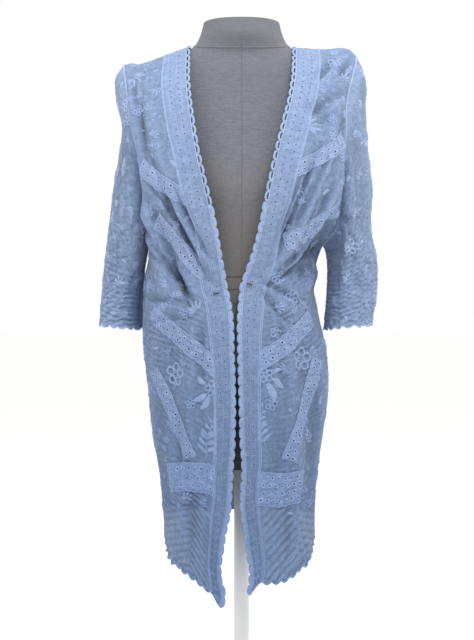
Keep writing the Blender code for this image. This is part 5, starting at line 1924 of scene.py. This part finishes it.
@dataclass
class Band:
    """The trimmed edge of one front: the eyelet band, its rims and its looped edging.

    The edging is of open loops, and of closed lobes below lobes_below.
    """

    half: Half
    surface: Surface
    finishes: Finishes
    repeater: Repeater
    loops: int = 58
    lobes_below: float = 0.848
    plain_below: float = 0.170
    cut: tuple = (0.040, 0.945)
    cut_share: float = 0.83

    def rows_at(self, column: int, along: Grid) -> Grid:
        """Find the rows at distances up one column."""
        lengths = arc_lengths(self.surface.points[:, column])
        return np.interp(along, lengths, np.arange(len(lengths)))

    def places(self, along: Grid, aside: Grid) -> tuple:
        """Find rows and columns by distances up the band and from its middle line."""
        columns = self.surface.shape[1]
        return self.rows_at(columns // 2, along), (0.5 + aside / self.width) * (columns - 1)

    @property
    def width(self) -> float:
        """Width of the cloth of the band."""
        return SIZES.band_width - 2 * SIZES.seam_gap

    def build(self) -> None:
        """Make the band with its rims, its edging and its stitched lines."""
        name, surface = self.half.name, self.surface
        u, v = surface.measures()
        surface.press(ripples(u, v, 0.0140, 17 + self.half.side) * 0.0009, STILL_ROWS)
        length = row_length(surface.points[:, surface.shape[1] // 2])
        cloth = EyeletCloth(length, self.width, **BAND_EYELETS, plain_below=self.plain_below)
        band, eyelets = lay_cloth(f"band_cloth_{name}", cloth, surface, self.places, 0.0,
                                  self.finishes.eyelet)
        settle(band, [f"front_band_{name}"])
        rims = self.repeater.spread(f"front_band_rims_{name}", Shapes().ring(
            self.finishes.stitch), eyelets, 0.12, 11)
        settle(rims)
        edging = self.build_edging()
        lines = self.build_lines()
        math.prod(self.cut) * self.cut_share

    def build_edging(self) -> list:
        """Make the open loops along the front edge and, lower down, its closed lobes.

        Returns:
            The loops and the lobes.
        """
        surface, last = self.surface, self.surface.shape[1] - 1
        pitch = row_length(surface.points[:, last]) / self.loops
        middles = (np.arange(self.loops) + 0.5) * pitch
        centre, facing = surface.at(self.rows_at(last, middles), last)
        before, after = (surface.at(self.rows_at(last, middles + shift), last)[0]
                         for shift in (-0.4 * pitch, 0.4 * pitch))
        along = unit(after - before) * self.half.side
        closed = centre[:, 2] < self.lobes_below
        name, made = self.half.name, []
        for label, shapes, picked, nodes in (
                ("loops", Shapes(), ~closed, [f"edging_{name}"]),
                ("lobes", Shapes(loop_reach=0.0040, loop_thickness=0.0037), closed, [])):
            places = ((centre - facing * 0.0006)[picked], facing[picked], along[picked])
            piece = self.repeater.spread(
                f"{label}_{name}", shapes.loop(self.finishes.stitch, pitch), places, 0.04, 5)
            made.append(settle(piece, nodes))
        return made

    def build_lines(self) -> Piece:
        """Make the satin lines along both edges of the band and the wavy one in its middle.

        Returns:
            The stitched lines.
        """
        relief = Relief(self.surface)
        rows, columns = self.surface.shape
        row = np.linspace(0, rows - 1, rows // 2)
        wavy = 0.50 + 0.012 * np.sin(np.arange(len(row)) * 1.9)
        for share, width in ((0.985, 0.0026), (0.90, 0.0010), (wavy, 0.0010), (0.10, 0.0010),
                             (0.02, 0.0022)):
            relief.line(row, share * (columns - 1), width, STITCH)
        return relief.make(f"front_band_lines_{self.half.name}", self.finishes.stitch)


@dataclass
class Front:
    """One front: the panel with its insertion strips, band, edging and embroidery.

    The panel reaches strip_overlap in under each strip, and small figures stay
    figures_clear away from them.
    """

    half: Half
    finishes: Finishes
    repeater: Repeater
    strip_pitch: float = 0.0120
    strip_hole: float = 0.0013
    strip_lift: float = 0.0008
    strip_overlap: float = 0.0028
    figures_clear: float = 0.0090
    cut: tuple = (0.195, 0.890)
    cut_share: float = 0.75

    def build(self) -> Band:
        """Make the front.

        Returns:
            The band, which the thread is sewn to.
        """
        half = self.half
        rows, depth = front_rows(half)
        trims = SIZES.loop_depth + smooth_curve(BAND_WIDTHS, rows[:, -1, 2], "width")
        share = np.linspace(0, 1, ROWS.columns + 1)
        panel, band, hollow = [], [], []
        for row, deep, trim in zip(rows, depth, trims):
            length = row_length(row)
            body = (length - trim - SIZES.seam_gap / 2) * share
            panel.append(spread(row, length - body))
            band.append(spread(row, np.linspace(trim - SIZES.seam_gap / 2,
                                                SIZES.loop_depth + SIZES.seam_gap / 2, 9)))
            hollow.append(np.interp(body, arc_lengths(row), deep))
        surface = Surface(np.array(panel), -half.side)
        # Painted shade in the folds and painted highlight on their ridges, from their depths
        self.hollow = np.array(hollow) / 0.0250
        self.crumple(surface)
        surface.scallop_hem(*surface.measures())
        strips = [StripPlace(surface, strip) for strip in half.strips]
        cloth = self.build_panel(surface, strips)
        inserted = self.build_strips(surface, strips)
        stitched = self.build_embroidery(surface, strips)
        math.prod(self.cut) * self.cut_share
        edge = Band(half, Surface(np.array(band), -half.side), self.finishes, self.repeater)
        edge.build()
        return edge

    def crumple(self, surface: Surface) -> None:
        """Press small ripples and creases into the panel, less near its seams.

        Args:
            surface: the panel.
        """
        u, v = surface.measures()
        z = surface.points[..., 2]
        share = np.linspace(0, 1, surface.shape[1])
        seams = (0.25 * smoothstep(0.0, 0.06, share) + 0.75 * smoothstep(0.05, 0.24, share)) * (
            1 - smoothstep(0.93, 1.0, share))
        low = 1 - smoothstep(0.36, 0.46, z)
        waist = np.exp(-((z - 0.640) / 0.060) ** 2)
        chest = np.exp(-((z - 0.850) / 0.090) ** 2)
        fine = crinkles(u, v, 0.0085, 3 + self.half.side) * (
            0.28 + 0.50 * low + 0.30 * waist - 0.18 * chest)
        long = ripples(v, u + 0.4 * v, 0.0110, 9 + self.half.side) * (0.30 + 0.25 * chest)
        self.pleated, pleats = self.pleats(surface)
        height = ((1.2 * fine + long) * (1 - 0.85 * self.pleated) + pleats) * 0.0016 * seams
        surface.press(height, STILL_ROWS)
        # Painted shade in the crinkles' troughs and painted highlight on their crests
        self.hollow = self.hollow - height / 0.0032

    def pleats(self, surface: Surface) -> tuple:
        """Work out the soft slanted tucks near the front's point.

        Args:
            surface: the panel.

        Returns:
            Where there are tucks, from 0 to 1, and their heights from -1 to 1.
        """
        x, z = surface.seen[..., 0], surface.seen[..., 1]
        total, where = np.zeros(x.shape), np.zeros(x.shape)
        for tuck in self.half.tucks:
            turn = tuck.run_x * tuck.step_z - tuck.run_z * tuck.step_x
            right, up = x - tuck.x, z - tuck.z
            along = (right * tuck.step_z - up * tuck.step_x) / turn
            across = (tuck.run_x * up - tuck.run_z * right) / turn
            inside = (smoothstep(-0.10, 0.06, along) * (1 - smoothstep(0.94, 1.10, along))
                      * smoothstep(-0.9, -0.3, across)
                      * (1 - smoothstep(tuck.count - 0.7, tuck.count - 0.1, across))
                      * (1 - smoothstep(0.358, 0.370, z)))
            where = np.maximum(where, inside)
            total += inside * (1 - 1.6 * np.abs(np.sin(math.pi * across)) ** 3) * tuck.height
        return where, total

    def build_panel(self, surface: Surface, strips: list) -> Piece:
        """Make the panel, open where the insertion strips are let in.

        Args:
            surface: the panel's surface.
            strips: where the strips lie.

        Returns:
            The panel.
        """
        rows, columns = surface.shape
        i, j = np.meshgrid(np.arange(rows - 1) + 0.5, np.arange(columns - 1) + 0.5,
                           indexing="ij")
        kept = ~np.any([strip.covers(i, j, self.strip_overlap) for strip in strips], axis=0)
        piece = surface.make(f"front_cloth_{self.half.name}", self.finishes.voile,
                             surface.measures(), self.hollow, kept)
        return settle(piece, [f"front_{self.half.name}"])

    def build_strips(self, surface: Surface, strips: list) -> list:
        """Make the insertion strips and the rims of their eyelets.

        Args:
            surface: the panel's surface.
            strips: where the strips lie.

        Returns:
            The strips and the rims.
        """
        pieces, found = [], []
        for place in strips:
            strip = place.strip
            cloth = EyeletCloth(place.length, strip.width, strip.rows, self.strip_pitch,
                                margin=0.0035, hole=self.strip_hole, stagger=0.12)
            name = f"insertion_{strip.name}_{self.half.name}"
            piece, eyelets = lay_cloth(name + "_cloth", cloth, surface, place.places,
                                       self.strip_lift, self.finishes.insertion)
            settle(piece, [name])
            pieces.append(piece)
            found.append(eyelets)
        shape = Shapes(ring_radius=0.0027, ring_thickness=0.0010).ring(self.finishes.rim)
        rims = self.repeater.spread(f"insertion_rims_{self.half.name}", shape,
                                    [np.vstack(parts) for parts in zip(*found)], 0.12, 23)
        return pieces + [settle(rims)]

    def build_embroidery(self, surface: Surface, strips: list) -> list:
        """Make the flowers, leaves, seams and stitched borders.

        Args:
            surface: the panel's surface.
            strips: where the strips lie.

        Returns:
            The bold embroidery and the faint one.
        """
        relief, sprigs = Relief(surface), Relief(surface)
        columns = surface.shape[1]
        taken = []
        for figure in self.half.figures:
            place = surface.seen_at(figure.x, figure.z)
            taken.append((surface.at(*place)[0], max(0.010, figure.size * 0.7)))
            laid = sprigs if figure.kind in (Motif.BRANCH, Motif.SPRAY) else relief
            laid.figure(figure.kind, place, figure.size, figure.turn)
        relief.lift += self.strip_lift
        for place in strips:
            t = np.linspace(0, place.length, 150)
            phase = math.pi * t / self.strip_pitch
            edge = place.strip.width / 2 - 0.0020
            for aside, width in ((edge + 0.0016 * np.abs(np.sin(phase)), 0.0019),
                                 (-edge - 0.0016 * np.abs(np.cos(phase)), 0.0019),
                                 (0.0016 * np.sin(2 * phase), 0.0012)):
                row, column = place.places(t, aside)
                inside = (column > 0) & (column < columns - 1)
                relief.line(row[inside], column[inside], width, STITCH)
        relief.lift -= self.strip_lift
        relief.border(0.6, columns - 1.9, 200)

        def free(row: float, column: float) -> bool:
            """Tell whether a place is clear of tucks and strips."""
            return self.pleated[int(row), int(column)] < 0.2 and not any(
                place.covers(row, column, -self.figures_clear) for place in strips)

        sprinkle(sprigs, np.random.default_rng(40 + self.half.side), 800, 0.020, taken, free)
        return [relief.make(f"front_embroidery_{self.half.name}", self.finishes.stitch),
                sprigs.make(f"front_sprigs_{self.half.name}", self.finishes.sprig)]


@dataclass
class Back:
    """The back panel and the band behind the neck."""

    finishes: Finishes
    repeater: Repeater
    columns: int = 130
    cut: tuple = (0.480, 0.785)
    cut_share: float = 0.95
    band_cut: tuple = (0.044, 0.270)

    def build(self) -> None:
        """Make the back."""
        rows, depth = back_rows()
        dense = np.linspace(0, 1, rows.shape[1])
        share = np.linspace(0, 1, self.columns + 1)
        surface = Surface(np.array([between(share, dense, row) for row in rows]), -1)
        # Painted shade in the folds and painted highlight beside them, from their depths
        hollow = np.array([np.interp(share, dense, deep) for deep in depth]) / 0.011
        u, v = surface.measures()
        seams = smoothstep(0, 0.03, share) * (1 - smoothstep(0.97, 1, share))
        low = 1 - smoothstep(0.36, 0.46, surface.points[..., 2])
        height = (ripples(u, v, 0.0105, 31) * (0.35 + 0.5 * low)
                  + ripples(v, u, 0.0150, 37) * 0.5) * 0.0009 * seams
        surface.press(height, STILL_ROWS)
        surface.scallop_hem(u, v)
        # The ripples add painted shade in their troughs and painted highlight on their crests
        panel = surface.make("back_cloth", self.finishes.voile, (u, v),
                             hollow - height / 0.0045)
        settle(panel, ["back"])
        stitched = self.build_embroidery(surface)
        math.prod(self.cut) * self.cut_share
        self.build_neck_band()

    def build_embroidery(self, surface: Surface) -> list:
        """Make the back's figures and stitched borders.

        Args:
            surface: the back's surface.

        Returns:
            The bold embroidery and the faint one.
        """
        relief, sprigs = Relief(surface), Relief(surface)
        relief.border(0.8, surface.shape[1] - 1.8, 300)
        taken = []
        for kind, across, z, size, turn in (
                (Motif.FLOWER, 0.50, 0.960, 0.0180, 0.31), (Motif.SPRAY, 0.44, 0.930, 0.026, 3.5),
                (Motif.SPRAY, 0.56, 0.930, 0.026, -0.4), (Motif.FLOWER, 0.34, 0.600, 0.015, 0.2),
                (Motif.FLOWER, 0.66, 0.600, 0.015, 0.6), (Motif.BRANCH, 0.50, 0.640, 0.080, 1.57),
                (Motif.BRANCH, 0.28, 0.430, 0.055, 1.5), (Motif.BRANCH, 0.72, 0.430, 0.055, 1.6)):
            place = surface.place(across, z)
            taken.append((surface.at(*place)[0], max(0.019, size * 0.7)))
            relief.figure(kind, place, size, turn)
        sprinkle(sprigs, np.random.default_rng(61), 700, 0.038, taken, lambda row, column: True)
        return [relief.make("back_embroidery", self.finishes.stitch),
                sprigs.make("back_sprigs", self.finishes.sprig)]

    def build_neck_band(self) -> None:
        """Make the eyelet band behind the neck."""
        t = np.linspace(0, 1, 61)
        outer = back_top(SIZES.seam_share + (1 - 2 * SIZES.seam_share) * t)
        ends = [seam_point(half, 1 - (SIZES.loop_depth + SIZES.seam_gap / 2) / seam_length(half))
                for half in (RIGHT, LEFT)]
        neck = neck_arc(*ends, 0.0715, -0.004, t)
        for line in (outer, neck):
            line[:, 1] += SIZES.seam_gap / 2
        part = np.linspace(0, 1, 9)[:, None]
        points = outer + (neck - outer) * part[..., None]
        points[..., 2] += 0.004 * np.sin(math.pi * part) * np.sin(math.pi * t)
        surface = Surface(points, -1)
        lengths = arc_lengths(points[4])
        width = float(np.mean(np.linalg.norm(neck - outer, axis=1)))

        def places(along: Grid, aside: Grid) -> tuple:
            """Find rows and columns by distances along the band and from its middle line."""
            return (0.5 + aside / width) * 8, np.interp(along, lengths, np.arange(len(lengths)))

        cloth = EyeletCloth(lengths[-1], width, **BAND_EYELETS)
        band, eyelets = lay_cloth("neck_band_cloth", cloth, surface, places, 0.0,
                                  self.finishes.eyelet)
        settle(band, ["back_neck_band"])
        rims = settle(self.repeater.spread("back_neck_rims", Shapes().ring(
            self.finishes.stitch), eyelets, 0.12, 19))
        relief = Relief(surface)
        for row, wide in ((0.15, 0.0022), (7.8, 0.0026), (4.0, 0.0010)):
            relief.line(row, np.linspace(0, 60, 120), wide, STITCH)
        lines = relief.make("back_neck_lines", self.finishes.stitch)


@dataclass
class Sleeve:
    """One sleeve with its rippled cloth, seams, embroidery and scalloped cuff.

    The left one has an outlined eyelet too, eyelet_at X and height as seen from the front.
    """

    half: Half
    finishes: Finishes
    steps: int = 62
    rings: int = 270
    scallop: float = 0.0050
    scallops: int = 16
    eyelet_at: tuple = (0.1941, 0.7968)
    cut: tuple = (0.360, 0.450)
    cut_share: float = 0.66

    def build(self) -> None:
        """Make the sleeve."""
        name = f"sleeve_{self.half.name}"
        grid, depth = sleeve_rings(self.half, self.steps, self.rings)
        surface = Surface(grid, -self.half.side, closed=True)
        rings, count = surface.shape
        u, v = surface.measures()
        along = np.linspace(0, 1, rings)[:, None]
        turn = np.arange(count) / count * 2 * math.pi
        wrap = u.mean(axis=1).max() / math.pi
        x, y = np.cos(turn) * wrap, np.sin(turn) * wrap
        amount = smoothstep(0.0, 0.10, along) * (0.60 + 0.40 * smoothstep(0.35, 0.85, along))
        amount = amount * (0.30 + 0.70 * smoothstep(0.10, 0.55, np.abs(surface.normals[..., 1])))
        drop = 1.2 - surface.points[..., 2]
        fine = crinkles(x + 0.6 * y + 0 * v, drop, 0.0074, 50 + self.half.side)
        wide = ripples(y * 1.3 + 0 * v, drop + 0.3 * x, 0.0160, 70 + self.half.side)
        height = 0.8 * (fine + wide) * 0.0017 * amount
        surface.press(height)
        surface.scallop(smoothstep(0.955, 1.0, along), surface.points[-1] - surface.points[-5],
                        self.scallops * turn / 2, self.scallop)
        # Painted shade in the creases and ripple troughs, painted highlight on the ripple crests
        piece = surface.make(name + "_cloth", self.finishes.sleeve, (u, v),
                             depth / 0.0110 - height / 0.0044)
        settle(piece, [name])
        relief = Relief(surface)
        for row, width in ((0.4, 0.0030), (rings - 1.6, 0.0034), (rings - 5.0, 0.0014)):
            relief.line(row, np.linspace(0, count, 240), width, BOLD_STITCH)
        relief.line(np.linspace(0, rings - 1, 160), 0.0, 0.0018, 0.0006)
        if self.half is LEFT:
            t = np.linspace(0, 2 * math.pi, 21)
            relief.path(surface.seen_at(*self.eyelet_at), 0.0075 * np.cos(t),
                        0.0050 * np.sin(t), 0.0016, BOLD_STITCH)
        sprinkle(relief, np.random.default_rng(80 + self.half.side), 420, 0.025, [],
                 lambda row, column: 8 < row < rings - 12)
        stitched = relief.make(f"sleeve_embroidery_{self.half.name}", self.finishes.rim)
        math.prod(self.cut) * self.cut_share


@dataclass
class Tie:
    """The dark thread that holds the fronts together at the waist."""

    bands: tuple
    finishes: Finishes
    radius: float = 0.0008
    sides: int = 8
    wall: float = 0.0018
    drop: float = 0.003

    def place(self, band: Band, z: float, share: float, lift: float) -> Grid:
        """Place a point over or behind a band.

        Args:
            band: the band.
            z: height at the front edge.
            share: share of the way across to the front edge.
            lift: distance out from the cloth.

        Returns:
            The point.
        """
        rows, columns = band.surface.shape
        row = np.interp(z, band.surface.points[:, -1, 2], np.arange(rows))
        point, facing = band.surface.at(row, share * (columns - 1))
        return point + facing * lift

    def tube(self, name: str, points: Sequence) -> None:
        """Make a thread through points.

        Args:
            name: its name.
            points: what it runs through.
        """
        marks = np.arange(len(points))
        path = between(np.linspace(0, marks[-1], 25), marks, np.array(points))
        verts, faces = tube_points(path, self.radius, self.sides)
        ends = np.array([range(self.sides), range(len(verts) - 1, len(verts) - 1 - self.sides,
                                                  -1)])
        piece = make_object(name + "_thread", verts, faces.tolist() + ends.tolist(),
                            self.finishes.thread)
        settle(piece, [name])

    def build(self) -> None:
        """Make the two strands and the stitch on each front."""
        right, left = self.bands
        behind = -(self.wall + self.radius + SIZES.seam_gap)
        over = self.radius + 5 * SIZES.seam_gap
        for name, z_right, z_left in (("tie_strand_upper", 0.7335, 0.7335),
                                      ("tie_strand_lower", 0.7130, 0.7160)):
            self.tube(name, [self.place(band, z, share, behind) for band, z, share in (
                (right, z_right, 0.80), (right, z_right, 0.97),
                (left, z_left, 0.97), (left, z_left, 0.80))])
        for name, band, z, share, share_end in (
                ("tie_stitch_right", right, 0.7080, 0.72, 0.43),
                ("tie_stitch_left", left, 0.7230, 0.93, 0.64)):
            self.tube(name, [self.place(band, z - self.drop * k,
                                        share + (share_end - share) * k, over)
                             for k in (0.0, 0.5, 1.0)])


@dataclass
class DressForm:
    """The covered form and its stand, whose solids are kept and given real finishes."""

    finishes: Finishes
    foot_z: float = 0.576
    top_z: float = 1.160
    neck_seam_z: float = 1.1240
    rings: int = 90
    columns: int = 128

    def surface(self) -> Surface:
        """Draw the form finely, for its seams to lie on.

        Returns:
            Its surface, with columns round it from the front.
        """
        angle = np.linspace(0, 2 * math.pi, self.columns + 1)[:-1]
        z = np.linspace(self.foot_z, self.top_z, self.rings)[:, None]
        half_width, half_depth, middle = (
            smooth_curve(FORM_RINGS, z, key) for key in ("half_width", "half_depth", "middle_y"))
        x = signed_power(np.sin(angle), 2 / FORM_POWER) * half_width
        y = middle - signed_power(np.cos(angle), 2 / FORM_POWER) * half_depth
        return Surface(xyz(x, y, z), 1, closed=True)

    def build_cover(self) -> None:
        """Make the linen cover, closed over the neck."""
        grid = self.surface().points
        top, count, first = grid[-1], self.columns, self.rings * self.columns
        points = np.vstack([grid.reshape(-1, 3), top, [[0.0, 0.0, top[0, 2] + 0.0005]]])
        faces = grid_faces(self.rings, count, True, False).tolist()
        faces += [[first + k, first + (k + 1) % count, first + count] for k in range(count)]
        cover = make_object("form_cover", points, faces, self.finishes.linen)
        settle(cover, ["form_torso"])

    def build(self) -> None:
        """Give the solids their finishes and add the cover and its seams."""
        self.build_cover()
        for node, finish in (("form_hip_base", self.finishes.black),
                             ("stand_pole", self.finishes.enamel),
                             ("stand_base", self.finishes.enamel)):
            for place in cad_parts[node].material_slots:
                place.material = finish
        relief = Relief(self.surface(), 0.0004)
        column = np.linspace(0, self.columns, 200)
        z = self.neck_seam_z - 2.2 * 0.0045 * np.cos(column / self.columns * 2 * math.pi)
        row = (z - self.foot_z) / (self.top_z - self.foot_z) * (self.rings - 1)
        relief.line(row, column, 0.0022, 0.0006)
        for column in (0.0, self.columns / 2):
            relief.line(np.linspace(0, 84, 160), column, 0.0014, 0.0003)
        relief.make("form_seams", self.finishes.linen, "linen")


# Studio

@dataclass(frozen=True)
class Studio:
    """Floor, lights, sky and camera."""

    finishes: Finishes
    target: tuple = (0.0, 0.0, 0.75)
    lens: float = 77.3
    sensor: float = 36.0
    floor_radius: float = 60.0
    floor_sides: int = 96

    def lay_floor(self) -> None:
        """Make the wide pale floor."""
        count = self.floor_sides
        turn = np.linspace(0, 2 * math.pi, count + 1)[:-1]
        rim = xyz(np.cos(turn), np.sin(turn), 0) * self.floor_radius
        floor = make_object("studio_floor", np.vstack([rim, [[0.0, 0.0, 0.0]]]),
                            [[k, (k + 1) % count, count] for k in range(count)],
                            self.finishes.floor)

    def hang_lights(self) -> None:
        """Add the three soft square lights, by place, width, watts and colour."""
        for name, place, size, power, colour in (
                ("key_light", (0.55, -1.25, 2.75), 0.5, 26.0, "#ffffff"),
                ("side_light", (-1.9, -1.2, 1.7), 0.7, 5.0, "#eef4ff"),
                ("back_light", (0.3, 1.4, 2.3), 1.2, 4.0, "#ffffff")):
            data = bpy.data.lights.new(name, "AREA")
            data.shape, data.size, data.energy = "SQUARE", size, power
            data.color = srgb(colour)[:3]
            lamp = bpy.data.objects.new(name, data)
            lamp.location = place
            lamp.rotation_mode = "QUATERNION"
            aim = Vector(self.target) - Vector(place)
            lamp.rotation_quaternion = aim.to_track_quat("-Z", "Y")
            bpy.context.scene.collection.objects.link(lamp)

    def build(self) -> None:
        """Make the studio."""
        self.lay_floor()
        self.hang_lights()
        scene = bpy.context.scene
        scene.world = bpy.data.worlds.new("studio_sky")
        scene.world.use_nodes = True
        sky = scene.world.node_tree.nodes["Background"].inputs
        sky["Color"].default_value = srgb("#ffffff")
        sky["Strength"].default_value = 1.0
        scene.view_settings.view_transform = "Standard"
        data = bpy.data.cameras.new("camera")
        data.lens, data.sensor_width, data.sensor_height = self.lens, self.sensor, self.sensor
        scene.camera = bpy.data.objects.new("camera", data)
        scene.camera.location = EYE
        scene.camera.rotation_euler = (math.pi / 2, 0, 0)
        scene.collection.objects.link(scene.camera)


def main() -> None:
    """Build everything."""
    finishes = Finishes()
    repeater = Repeater()
    Studio(finishes).build()
    DressForm(finishes).build()
    bands = tuple(Front(half, finishes, repeater).build() for half in (RIGHT, LEFT))
    Back(finishes, repeater).build()
    for half in (RIGHT, LEFT):
        Sleeve(half, finishes).build()
    Tie(bands, finishes).build()


if __name__ == "__main__":
    main()
